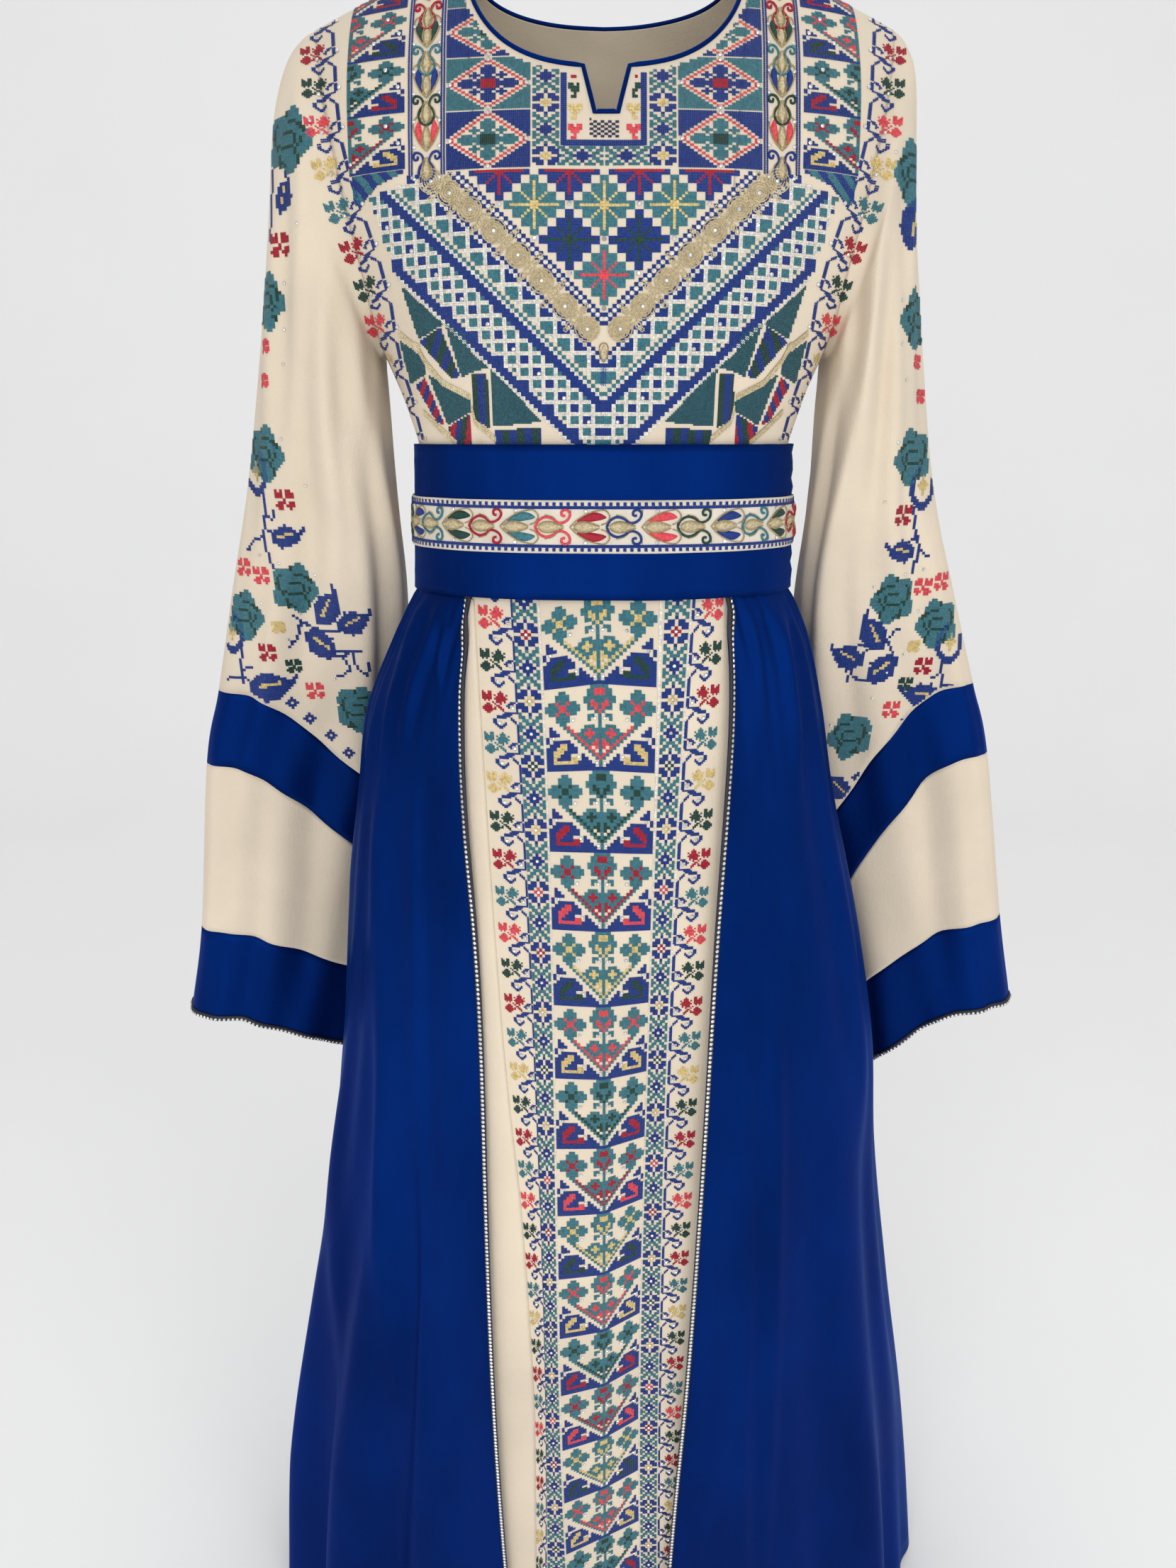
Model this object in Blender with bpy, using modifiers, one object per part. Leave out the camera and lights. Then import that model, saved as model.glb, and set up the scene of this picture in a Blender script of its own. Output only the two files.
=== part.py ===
"""A Palestinian thobe: an ivory crepe dress under a blue satin overskirt, with a sash and bell sleeves.

It is worn with nobody in it, so every panel is a hollow wall in its worn shape. Metres, +Z up, the
dress faces -Y, and the origin is midway between the tops of the shoulders. left is the side at -X.
"""

import math
from collections import namedtuple

import bmesh
import bpy
import numpy as np

# Walls and gaps.
CREPE = 0.0012
SATIN = 0.0012
SASH_WALL = 0.0020
RIBBON_WALL = 0.0010
TAPE_WALL = 0.0008
SEAM = 0.0006
SKIRT_SEAM = 0.0009
SLEEVE_SEAM = 0.0022
REST = 0.0003

# The bodice.
WAIST = -0.362
UNDERARM = -0.243
SHOULDER_HALF = 0.189
SHOULDER_END = -0.043
NECK_HALF = 0.0885
FRONT_NECK_DROP = 0.0875
BACK_NECK_DROP = 0.022
NOTCH_TOP_HALF = 0.0148
NOTCH_FOOT_HALF = 0.0078
NOTCH_FOOT = -0.1145
SHOULDER_SLOPE = -SHOULDER_END / (SHOULDER_HALF - NECK_HALF)
SHOULDER_ROLL = 0.075
ROUNDNESS = 2.3
NECK_ROUNDNESS = 2.6
BUST_FULLNESS = 0.007
BUST_X = 0.066
BUST_Z = -0.192
BUST_REACH = 0.050
SLOPE_STEP = 0.002

# The belt, the skirts and what is sewn on them.
FOLD_GROWTH = 1.3
FOLD_POWER = 1.2
BELT_TOP = -0.304
BELT_FOOT = -0.404
RIBBON_TOP = -0.339
RIBBON_FOOT = -0.373
HEM = -1.420
UNDER_HEM = -1.416
TAPE_WIDTH = 0.0050
TAPE_LIFT = 0.0006
TAPE_ROWS = 0.065
BINDING_RADIUS = 0.0017
BINDING_CLEAR = 0.0011
ARMHOLE_GAP = 0.0010

# Half-widths and depths of the body of the dress: edge is where the panel ends, at the side seam and
# then at the armhole, and chest is how wide the whole body is there.
Level = namedtuple("Level", "z edge chest front back")
BODY = (
    Level(-0.362, 0.1318, 0.1318, 0.0930, 0.0780),
    Level(-0.330, 0.1316, 0.1316, 0.0932, 0.0768),
    Level(-0.306, 0.1326, 0.1326, 0.0938, 0.0768),
    Level(-0.285, 0.1385, 0.1385, 0.0975, 0.0800),
    Level(-0.262, 0.1460, 0.1465, 0.1015, 0.0830),
    Level(-0.243, 0.1530, 0.1545, 0.1050, 0.0850),
    Level(-0.200, 0.1590, 0.1730, 0.1100, 0.0900),
    Level(-0.150, 0.1690, 0.1900, 0.1060, 0.0930),
    Level(-0.100, 0.1790, 0.2010, 0.0900, 0.0910),
    Level(-0.043, 0.1890, 0.2080, 0.0680, 0.0800),
    Level(0.000, 0.1960, 0.2140, 0.0550, 0.0650),
)

# The ivory underskirt's outside: its half-widths, its depths, how far back its widest line is, and how
# far out the satin overskirt stands from it.
Ring = namedtuple("Ring", "z left right front back side stand")
SKIRT = (
    Ring(-1.420, 0.316, 0.322, 0.078, 0.230, 0.076, 0.009),
    Ring(-1.250, 0.296, 0.300, 0.084, 0.210, 0.063, 0.009),
    Ring(-1.050, 0.257, 0.261, 0.096, 0.186, 0.045, 0.009),
    Ring(-0.900, 0.225, 0.236, 0.106, 0.166, 0.030, 0.008),
    Ring(-0.780, 0.206, 0.223, 0.108, 0.150, 0.021, 0.008),
    Ring(-0.680, 0.196, 0.203, 0.107, 0.136, 0.014, 0.007),
    Ring(-0.560, 0.183, 0.172, 0.104, 0.116, 0.006, 0.006),
    Ring(-0.490, 0.171, 0.160, 0.101, 0.102, 0.001, 0.005),
    Ring(-0.440, 0.150, 0.148, 0.098, 0.090, 0.000, 0.004),
    Ring(-0.404, 0.1348, 0.1348, 0.0955, 0.0800, 0.000, 0.0022),
    Ring(-0.362, 0.1318, 0.1318, 0.0930, 0.0780, 0.000, 0.0022),
)

# The sash's outside.
Band = namedtuple("Band", "z half_width front back")
SASH = (
    Band(-0.404, 0.1400, 0.1010, 0.0855),
    Band(-0.354, 0.1378, 0.0993, 0.0830),
    Band(-0.304, 0.1362, 0.0977, 0.0805),
)

# The long soft folds of both skirts, in degrees round from the middle of the front, left negative.
# depth is at the hem, out for a ridge and in for a valley; each fades out upward, at top.
Fold = namedtuple("Fold", "angle width depth top")
FOLDS = (
    Fold(-23, 5, -0.004, -0.55),
    Fold(-38, 6, -0.022, -0.48),
    Fold(-48, 6, 0.010, -0.55),
    Fold(-60, 6, -0.016, -0.80),
    Fold(-72, 6, 0.008, -0.70),
    Fold(-81, 6, -0.010, -0.90),
    Fold(26, 6, -0.006, -0.80),
    Fold(40, 7, -0.012, -0.60),
    Fold(52, 6, 0.008, -0.60),
    Fold(64, 6, -0.014, -0.75),
    Fold(77, 6, -0.008, -0.60),
    Fold(101, 8, -0.014, -0.60),
    Fold(124, 9, -0.020, -0.50),
    Fold(147, 9, -0.016, -0.60),
    Fold(170, 9, -0.020, -0.50),
    Fold(-105, 8, -0.015, -0.60),
    Fold(-128, 9, -0.020, -0.50),
    Fold(-150, 9, -0.017, -0.60),
)

# Where the overskirt's two front edges run: how far each is from the middle.
Edge = namedtuple("Edge", "z left right")
FRONT_EDGES = (
    Edge(-1.420, 0.076, 0.053),
    Edge(-1.132, 0.085, 0.065),
    Edge(-0.889, 0.088, 0.072),
    Edge(-0.655, 0.090, 0.078),
    Edge(-0.480, 0.095, 0.085),
    Edge(-0.362, 0.089, 0.082),
)

# Each sleeve hangs through these sections: its outer fold, its inner fold and its half depth.
Section = namedtuple("Section", "outer_x outer_y outer_z inner_x inner_y inner_z depth")
Row = namedtuple("Row", ("row",) + Section._fields)
LEFT_SLEEVE = (
    Section(0.1990, 0.000, -0.050, 0.1560, 0.000, -0.2470, 0.059),
    Section(0.2090, 0.000, -0.064, 0.1560, 0.000, -0.2520, 0.060),
    Section(0.2190, 0.000, -0.095, 0.1555, 0.002, -0.2620, 0.062),
    Section(0.2270, 0.001, -0.145, 0.1550, 0.004, -0.2820, 0.061),
    Section(0.2380, 0.002, -0.205, 0.1545, 0.010, -0.3120, 0.058),
    Section(0.2500, 0.004, -0.270, 0.1540, 0.022, -0.3550, 0.054),
    Section(0.2660, 0.010, -0.345, 0.1560, 0.052, -0.4150, 0.048),
    Section(0.2850, 0.020, -0.415, 0.1660, 0.090, -0.5000, 0.041),
    Section(0.3060, 0.030, -0.494, 0.1780, 0.116, -0.6050, 0.038),
    Section(0.3240, 0.036, -0.556, 0.1890, 0.128, -0.6700, 0.039),
    Section(0.3460, 0.044, -0.706, 0.2060, 0.142, -0.7750, 0.044),
    Section(0.3640, 0.048, -0.790, 0.2180, 0.148, -0.8560, 0.047),
)
RIGHT_SLEEVE = (
    Section(0.1960, 0.000, -0.050, 0.1560, 0.000, -0.2470, 0.059),
    Section(0.2020, 0.000, -0.064, 0.1560, 0.000, -0.2520, 0.060),
    Section(0.2070, 0.000, -0.095, 0.1555, 0.002, -0.2620, 0.062),
    Section(0.2120, 0.001, -0.145, 0.1550, 0.004, -0.2820, 0.061),
    Section(0.2210, 0.002, -0.205, 0.1545, 0.010, -0.3120, 0.058),
    Section(0.2320, 0.004, -0.270, 0.1540, 0.022, -0.3600, 0.054),
    Section(0.2480, 0.010, -0.345, 0.1560, 0.052, -0.4350, 0.048),
    Section(0.2710, 0.020, -0.415, 0.1660, 0.090, -0.5400, 0.041),
    Section(0.2960, 0.030, -0.488, 0.1790, 0.118, -0.6550, 0.038),
    Section(0.3150, 0.036, -0.548, 0.1930, 0.132, -0.7350, 0.039),
    Section(0.3430, 0.044, -0.698, 0.2170, 0.148, -0.8150, 0.044),
    Section(0.3620, 0.048, -0.782, 0.2310, 0.158, -0.9000, 0.047),
)
# The pieces of a sleeve: the rows of its table where each begins and ends, the armhole being 0, and steps.
SLEEVE_PIECES = (
    ("shoulder", 0, 3, 5),
    ("arm", 3, 6, 4),
    ("elbow", 6, 9, 4),
    ("band", 9, 10, 2),
    ("panel", 10, 11, 3),
    ("cuff", 11, 12, 2),
)
SLEEVE_FOLDS = 5
SLEEVE_FOLD_DEPTH = 0.0035
SLEEVE_FOLD_TURN = 0.8
FOLDED_BY_ROW = 6
ARMHOLE_KEPT_TO_ROW = 3
HEM_SWAYS_FROM_ROW = 6
HEM_SWAYS_BY_ROW = 9

# Steps of the meshes.
ARMHOLE_ROWS = 12
SIDE_LEVELS = (-0.362, -0.334, -0.307, -0.288, -0.267)
SHOULDER_TUCK = 0.0006
NECK_STEPS = 6
NECK_CROWDING = 1.4
SHOULDER_STEPS = (0.461, 0.58, 0.70, 0.81, 0.90, 0.96, 0.99, 1.0)
BACK_NECK_STEPS = (0.0, 0.030, 0.055, 0.075, 0.085, NECK_HALF)
SKIRT_ROWS = (
    -0.362, -0.404, -0.422, -0.445, -0.475, -0.52, -0.60, -0.70, -0.82, -0.95, -1.10, -1.26, -1.42)
UNDERSKIRT_COLUMNS = {"front": 21, "back": 19}
SATIN_FRONT_COLUMNS = 21
SATIN_BACK_COLUMNS = 27
BELT_STEPS = 40

# The looks: a colour and how rough it is.
Look = namedtuple("Look", "colour roughness")
IVORY = Look((0.79, 0.72, 0.62), 0.85)
BLUE = Look((0.006, 0.035, 0.27), 0.35)
RIBBON = Look((0.72, 0.66, 0.56), 0.6)
BLACK = Look((0.02, 0.02, 0.025), 0.6)


def curve(table, column, at):
    """Reads a column of a table along a smooth curve through its rows, whose first column is the key."""
    rows = sorted(table)
    keys = np.array([row[0] for row in rows])
    values = np.array([getattr(row, column) for row in rows])
    slopes = np.gradient(values, keys)
    i = np.clip(np.searchsorted(keys, at) - 1, 0, len(keys) - 2)
    span = keys[i + 1] - keys[i]
    f = np.clip((at - keys[i]) / span, 0, 1)
    near = (1 + 2 * f) * (1 - f) ** 2 * values[i] + f * (1 - f) ** 2 * span * slopes[i]
    far = f**2 * (3 - 2 * f) * values[i + 1] + f**2 * (f - 1) * span * slopes[i + 1]
    return float(near + far)


# ---------------------------------------------------------------- the surfaces


def shoulder_height(x):
    """The height of the shoulder line, which the neck's sides would carry on upward."""
    return -SHOULDER_SLOPE * (abs(x) - NECK_HALF)


def bodice_depth(x, z, column):
    """How far in front of, or behind, the side seams the bodice lies."""
    across = min(abs(x) / curve(BODY, "chest", z), 1)
    depth = curve(BODY, column, z) * (1 - across**ROUNDNESS) ** (1 / ROUNDNESS)
    if column == "front":
        away = ((abs(x) - BUST_X) ** 2 + (z - BUST_Z) ** 2) / BUST_REACH**2
        depth += BUST_FULLNESS * math.exp(-away)
    below = min(max(shoulder_height(x) - z, 0) / SHOULDER_ROLL, 1)
    return depth * math.sqrt(1 - (1 - below) ** 2)


def front_neck(x):
    """The height of the front neck edge: a round neck with a notch in it."""
    if abs(x) <= NOTCH_FOOT_HALF:
        return NOTCH_FOOT
    if abs(x) <= NOTCH_TOP_HALF:
        rise = (abs(x) - NOTCH_FOOT_HALF) / (NOTCH_TOP_HALF - NOTCH_FOOT_HALF)
        return NOTCH_FOOT + rise * (round_neck(NOTCH_TOP_HALF, FRONT_NECK_DROP) - NOTCH_FOOT)
    return round_neck(x, FRONT_NECK_DROP)


def round_neck(x, drop):
    """The height of a round neck edge that drops this far below the neck's sides."""
    return -drop * max(1 - (abs(x) / NECK_HALF) ** NECK_ROUNDNESS, 0) ** (1 / NECK_ROUNDNESS)


def body_levels():
    """The heights of the bodice's rows: up the side seam, then close where the armhole turns."""
    middle, half = (UNDERARM + SHOULDER_END) / 2, (SHOULDER_END - UNDERARM) / 2
    levels = [middle - half * math.cos(math.pi * i / ARMHOLE_ROWS) for i in range(ARMHOLE_ROWS + 1)]
    levels[-2] = SHOULDER_END - SHOULDER_TUCK
    return list(SIDE_LEVELS) + levels


def front_columns():
    """How far from the middle each column of the front ends: notch, neck, then shoulder."""
    columns = [0.0, NOTCH_FOOT_HALF, NOTCH_TOP_HALF]
    start = math.asin((NOTCH_TOP_HALF / NECK_HALF) ** (NECK_ROUNDNESS / 2))
    for i in range(1, NECK_STEPS + 1):
        turn = start + (math.pi / 2 - start) * (1 - (1 - i / NECK_STEPS) ** NECK_CROWDING)
        columns.append(NECK_HALF * math.sin(turn) ** (2 / NECK_ROUNDNESS))
    return columns + [step * SHOULDER_HALF for step in SHOULDER_STEPS[1:]]


def back_columns():
    """How far from the middle each column of the back ends: neck, then shoulder."""
    return list(BACK_NECK_STEPS) + [step * SHOULDER_HALF for step in SHOULDER_STEPS[1:]]


def bodice_point(top_x, level, column):
    """A point of the bodice, in the column that ends at top_x, level with this height at the armhole."""
    neck = front_neck(top_x) if column == "front" else round_neck(top_x, BACK_NECK_DROP)
    top = neck if abs(top_x) < NECK_HALF else shoulder_height(top_x)
    z = WAIST + (top - WAIST) * (level - WAIST) / (SHOULDER_END - WAIST)
    x = top_x / SHOULDER_HALF * curve(BODY, "edge", level)
    depth = max(bodice_depth(x, z, column), SEAM / 2)
    return (x, -depth if column == "front" else depth, z)


def oval(angle, half_width, front, back):
    """A point of a rounded section, half a section in front of its widest line and half behind."""
    sine, cosine = math.sin(angle), math.cos(angle)
    x = half_width * math.copysign(abs(sine) ** (2 / ROUNDNESS), sine)
    depth = -front if cosine > 0 else back
    return x, depth * abs(cosine) ** (2 / ROUNDNESS)


def skirt_point(angle, z, out=0.0):
    """A point of the underskirt's outside, moved out; angle is in radians, 0 at the front's middle."""
    half_width = curve(SKIRT, "left" if angle < 0 else "right", z)
    side = curve(SKIRT, "side", z)
    x, y = oval(angle, half_width, curve(SKIRT, "front", z) + side, curve(SKIRT, "back", z) - side)
    push = 1 + (out + fold_depth(angle, z)) / math.hypot(x, y)
    return (x * push, side + y * push, z - REST)


def fold_depth(angle, z):
    """How far out the skirt's folds take it, at an angle and a height."""
    total = 0.0
    for fold in FOLDS:
        if z < fold.top:
            away = (math.degrees(angle) - fold.angle + 180) % 360 - 180
            grown = min((fold.top - z) / (fold.top - HEM) * FOLD_GROWTH, 1)
            total += fold.depth * grown**FOLD_POWER * math.exp(-((away / fold.width) ** 2))
    return total


def armhole(side):
    """The armhole's edge, from the underarm up the front to the shoulder and down the back."""
    levels = body_levels()[len(SIDE_LEVELS):]
    front = [bodice_point(side * SHOULDER_HALF, level, "front") for level in levels]
    back = [bodice_point(side * SHOULDER_HALF, level, "back") for level in levels]
    return [(x + side * ARMHOLE_GAP, 0.0 if i in (0, ARMHOLE_ROWS) else y, z)
            for i, (x, y, z) in enumerate(front + back[-2:0:-1])]


def sleeve_ring(side, row):
    """The sleeve's section at a row of its table, which may fall between rows; row 0 is the armhole."""
    table = LEFT_SLEEVE if side < 0 else RIGHT_SLEEVE
    hole = armhole(side)
    count = len(hole)
    first = Section(abs(hole[count // 2][0]), 0.0, hole[count // 2][2],
                    abs(hole[0][0]), 0.0, hole[0][2], max(abs(y) for _, y, _ in hole))
    rows = [Row(n, *section) for n, section in enumerate((first,) + table)]
    section = Section(*(curve(rows, field, row) for field in Section._fields))
    keep = max(1 - row / ARMHOLE_KEPT_TO_ROW, 0) ** 2
    ring = []
    for i in range(count):
        miss = hole[i] - section_point(first, side, i / count, 0)
        ring.append(tuple(section_point(section, side, i / count, row) + keep * miss))
    return ring


def widened(ring, side, out):
    """A sleeve's ring moved out all round by this much."""
    moved = []
    for i, point in enumerate(ring):
        along = np.subtract(ring[(i + 1) % len(ring)], ring[i - 1])
        outward = np.array((along[1], -along[0], 0)) * side
        moved.append(tuple(point + unit(outward) * out))
    return moved


def section_point(section, side, share, row):
    """A point round a sleeve's section: share 0 is its inner fold, and it goes round by the front."""
    turn = 2 * math.pi * share
    outer = np.array((side * section.outer_x, section.outer_y, section.outer_z))
    inner = np.array((side * section.inner_x, section.inner_y, section.inner_z))
    centre, reach = (outer + inner) / 2, (outer - inner) / 2
    flat = reach * (1, 1, 0)
    ahead = unit(np.array((flat[1], -flat[0], 0))) * side
    ripple = SLEEVE_FOLD_DEPTH * math.sin(SLEEVE_FOLDS * turn + SLEEVE_FOLD_TURN) * math.sin(turn) ** 2
    across = section.depth + ripple * min(row / FOLDED_BY_ROW, 1)
    point = centre - reach * math.cos(turn) + ahead * across * math.sin(turn)
    sway = min(max(row - HEM_SWAYS_FROM_ROW, 0) / (HEM_SWAYS_BY_ROW - HEM_SWAYS_FROM_ROW), 1)
    point[2] += sway * reach[2] * (math.cos(turn) - math.sin(math.pi / 2 * math.cos(turn)))
    return point


# ---------------------------------------------------------------- the meshes


def material(name, look):
    made = bpy.data.materials.new(name)
    made.use_nodes = True
    shader = made.node_tree.nodes["Principled BSDF"]
    shader.inputs["Base Color"].default_value = (*look.colour, 1)
    shader.inputs["Roughness"].default_value = look.roughness
    return made


def loft(collection, name, rings, wall, look, closed=False):
    """A cloth wall through rings of points that run to the left of its outside; it thickens inward."""
    mesh = bpy.data.meshes.new(name)
    shell = bmesh.new()
    rows = [[shell.verts.new(point) for point in ring] for ring in rings]
    count = len(rows[0])
    for lower, upper in zip(rows, rows[1:]):
        for i in range(count if closed else count - 1):
            j = (i + 1) % count
            shell.faces.new((lower[i], lower[j], upper[j], upper[i]))
    shell.to_mesh(mesh)
    shell.free()
    mesh.shade_smooth()
    piece = bpy.data.objects.new(name, mesh)
    collection.objects.link(piece)
    mesh.materials.append(material(name, look))
    solid = piece.modifiers.new("wall", "SOLIDIFY")
    solid.thickness = wall
    solid.offset = -1
    return piece


def mirrored(columns):
    return [-x for x in columns[:0:-1]] + columns


def build_bodice(collection):
    """The front, with its notched neck, and the back, from the waist seam to the shoulder seams."""
    for name, column, columns in (
        ("bodice_front", "front", mirrored(front_columns())),
        ("bodice_back", "back", mirrored(back_columns())[::-1]),
    ):
        rings = [[bodice_point(x, level, column) for x in columns] for level in body_levels()]
        loft(collection, name, rings, CREPE, IVORY)


def neck_edge():
    """The edge of the neck: across the front and its notch, then back across the back."""
    front = [x for x in mirrored(front_columns()) if abs(x) <= NECK_HALF]
    back = [x for x in mirrored(back_columns())[::-1] if abs(x) < NECK_HALF]
    points = [bodice_point(x, SHOULDER_END, "front") for x in front]
    return [np.array(p) for p in points + [bodice_point(x, SHOULDER_END, "back") for x in back]]


def unit(vector):
    return vector / np.linalg.norm(vector)


def build_binding(collection):
    """A satin piping that runs just inside the neck's edge, following the notch."""
    edge = neck_edge()
    clear = BINDING_RADIUS + BINDING_CLEAR
    line = []
    for i, point in enumerate(edge):
        facing = wall_normal(point)
        before = unit(np.cross(facing, point - edge[i - 1]))
        after = unit(np.cross(facing, edge[(i + 1) % len(edge)] - point))
        corner = (before + after) / max(1 + float(before @ after), 0.5)
        line.append(point + corner * clear)
    data = bpy.data.curves.new("neck_binding", "CURVE")
    data.dimensions = "3D"
    data.bevel_depth = BINDING_RADIUS
    data.bevel_resolution = 1
    data.resolution_u = 1
    spline = data.splines.new("POLY")
    spline.points.add(len(line) - 1)
    for knot, place in zip(spline.points, line):
        knot.co = (*place, 1)
    spline.use_cyclic_u = True
    data.materials.append(material("neck_binding", BLUE))
    collection.objects.link(bpy.data.objects.new("neck_binding", data))


def wall_normal(point):
    """The way that the bodice faces at a point of its neck edge."""
    x, y, z = point
    column = "front" if y < 0 else "back"
    facing = -1 if y < 0 else 1
    wider = bodice_depth(x + SLOPE_STEP, z, column) - bodice_depth(x - SLOPE_STEP, z, column)
    lower = bodice_depth(x, z, column) - bodice_depth(x, z - SLOPE_STEP, column)
    return unit(np.array((-wider / 2, facing * SLOPE_STEP, -lower)))


def build_sleeves(collection):
    """Each sleeve hangs from its armhole: ivory crepe, a satin band, an ivory panel and a satin cuff."""
    for side, word in ((-1, "left"), (1, "right")):
        for piece, first, last, steps in SLEEVE_PIECES:
            top = first + (row_gap(side, first) if first else 0)
            foot = last - (row_gap(side, last - 1) if piece != "cuff" else 0)
            stops = spread(top, foot, steps + 1)
            if piece == "cuff":
                stops.insert(-1, foot - TAPE_ROWS)
            rings = [sleeve_ring(side, row) for row in stops[::-1]]
            rings = rings if side > 0 else [ring[::-1] for ring in rings]
            wall, look = (SATIN, BLUE) if piece in ("band", "cuff") else (CREPE, IVORY)
            loft(collection, f"sleeve_{word}_{piece}", rings, wall, look, closed=True)


def row_gap(side, row):
    """Half a seam's gap, as a share of the way from a row of the sleeve's table to the next."""
    table = LEFT_SLEEVE if side < 0 else RIGHT_SLEEVE
    here, after = table[int(row) - 1], table[int(row)]
    return SLEEVE_SEAM / 2 / min(here.outer_z - after.outer_z, here.inner_z - after.inner_z)


def spread(start, end, count):
    """Evenly spaced values from one to another."""
    return [start + (end - start) * i / (count - 1) for i in range(count)]


def seam_angle(z, half, out):
    """How far round a side seam is, less half the gap between the panels, seen from this half's middle."""
    side = curve(SKIRT, "side", z)
    depth = curve(SKIRT, "front", z) + side if half == "front" else curve(SKIRT, "back", z) - side
    return math.acos((SKIRT_SEAM / 2 / (depth + out)) ** (ROUNDNESS / 2))


def half_rings(half, on_top, foot, count):
    """The rings of a skirt's front or back half, from its foot up, of the skirt on top or the one under."""
    rings = []
    for z in (foot,) + SKIRT_ROWS[-2::-1]:
        out = curve(SKIRT, "stand", z) if on_top else 0.0
        reach = seam_angle(z, half, out)
        middle = 0 if half == "front" else math.pi
        rings.append([skirt_point(wrap(a), z, out) for a in spread(middle - reach, middle + reach, count)])
    return rings


def wrap(angle):
    return (angle + math.pi) % (2 * math.pi) - math.pi


def build_underskirt(collection):
    """The ivory front, whose middle shows, and the ivory back."""
    for half, count in UNDERSKIRT_COLUMNS.items():
        loft(collection, f"underskirt_{half}", half_rings(half, False, UNDER_HEM, count), CREPE, IVORY)


def front_edge(z, side, inset=0.0):
    """The angle of an overskirt's front edge, or of a line this far inside it."""
    x = curve(FRONT_EDGES, "left" if side < 0 else "right", z) + inset
    half_width = curve(SKIRT, "left" if side < 0 else "right", z) + curve(SKIRT, "stand", z)
    return side * math.asin(min(x / half_width, 1) ** (ROUNDNESS / 2))


def build_overskirt(collection):
    """Two satin fronts that part over the ivory front, and a satin back."""
    for side, name in ((-1, "overskirt_left"), (1, "overskirt_right")):
        rings = []
        for z in SKIRT_ROWS[::-1]:
            out = curve(SKIRT, "stand", z)
            angles = spread(front_edge(z, side), side * seam_angle(z, "front", out), SATIN_FRONT_COLUMNS)
            rings.append([skirt_point(a, z, out) for a in angles[::side]])
        loft(collection, name, rings, SATIN, BLUE)
    rings = half_rings("back", True, HEM, SATIN_BACK_COLUMNS)
    loft(collection, "overskirt_back", rings, SATIN, BLUE)


def build_trims(collection):
    """The black tapes that carry the stones, down the overskirt's front edges and round the sleeve hems."""
    for side, word in ((-1, "left"), (1, "right")):
        rings = []
        for z in [z for z in SKIRT_ROWS[::-1] if z < BELT_FOOT]:
            out = curve(SKIRT, "stand", z) + TAPE_LIFT + TAPE_WALL
            angles = (front_edge(z, side), front_edge(z, side, TAPE_WIDTH))
            rings.append([skirt_point(a, z, out) for a in angles[::side]])
        loft(collection, f"overskirt_{word}_trim", rings, TAPE_WALL, BLACK)
        foot = len(LEFT_SLEEVE)
        out = TAPE_LIFT + TAPE_WALL
        rings = [widened(sleeve_ring(side, row), side, out) for row in (foot, foot - TAPE_ROWS)]
        rings = rings if side > 0 else [ring[::-1] for ring in rings]
        loft(collection, f"sleeve_{word}_trim", rings, TAPE_WALL, BLACK, closed=True)


def band_point(angle, z, out):
    """A point of the sash's outside, moved out."""
    half_width, front, back = (curve(SASH, column, z) + out for column in ("half_width", "front", "back"))
    return (*oval(angle, half_width, front, back), z)


def build_belt(collection):
    """The satin sash round the waist, and the woven ribbon that lies on it."""
    turns = [2 * math.pi * i / BELT_STEPS - math.pi for i in range(BELT_STEPS)]
    for name, heights, out, wall, look in (
        ("belt", (BELT_FOOT, (BELT_FOOT + BELT_TOP) / 2, BELT_TOP), 0.0, SASH_WALL, BLUE),
        ("belt_ribbon", (RIBBON_FOOT, RIBBON_TOP), TAPE_LIFT + RIBBON_WALL, RIBBON_WALL, RIBBON),
    ):
        rings = [[band_point(turn, z, out) for turn in turns] for z in heights]
        loft(collection, name, rings, wall, look, closed=True)


def main():
    for old in list(bpy.data.objects):
        bpy.data.objects.remove(old)
    collection = bpy.data.collections.new("palestinian_thobe")
    bpy.context.scene.collection.children.link(collection)
    build_bodice(collection)
    build_binding(collection)
    build_sleeves(collection)
    build_underskirt(collection)
    build_overskirt(collection)
    build_trims(collection)
    build_belt(collection)


main()
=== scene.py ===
"""The looks of a Palestinian thobe: cloths in their worn shape, cross-stitch, cords, ribbon and stones.

Metres, +Z up, the dress faces -Y and its left is -X, in the same frame as its CAD. Every cloth follows the
surface of the solid that it stands for, and each pattern lies on a cloth, placed by its x and its height.
Tables in text count in tenths of a millimetre.
"""

import math
from collections import namedtuple

import bpy
import numpy as np
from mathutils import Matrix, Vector
from mathutils.bvhtree import BVHTree


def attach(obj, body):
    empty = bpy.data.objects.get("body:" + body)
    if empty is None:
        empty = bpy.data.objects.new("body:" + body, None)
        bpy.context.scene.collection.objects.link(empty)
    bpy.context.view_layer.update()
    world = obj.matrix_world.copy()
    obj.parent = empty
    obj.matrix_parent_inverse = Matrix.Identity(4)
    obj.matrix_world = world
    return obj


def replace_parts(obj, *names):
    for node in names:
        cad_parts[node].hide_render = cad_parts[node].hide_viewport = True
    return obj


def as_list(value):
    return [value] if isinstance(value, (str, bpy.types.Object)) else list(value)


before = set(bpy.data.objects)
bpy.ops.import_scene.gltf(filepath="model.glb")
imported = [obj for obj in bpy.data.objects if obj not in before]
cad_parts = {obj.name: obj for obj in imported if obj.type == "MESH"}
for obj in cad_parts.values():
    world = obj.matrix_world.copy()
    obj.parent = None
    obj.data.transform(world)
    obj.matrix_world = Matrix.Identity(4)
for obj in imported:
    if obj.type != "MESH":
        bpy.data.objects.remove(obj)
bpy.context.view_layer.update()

# ---------------------------------------------------------------- sizes, as in the CAD

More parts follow.
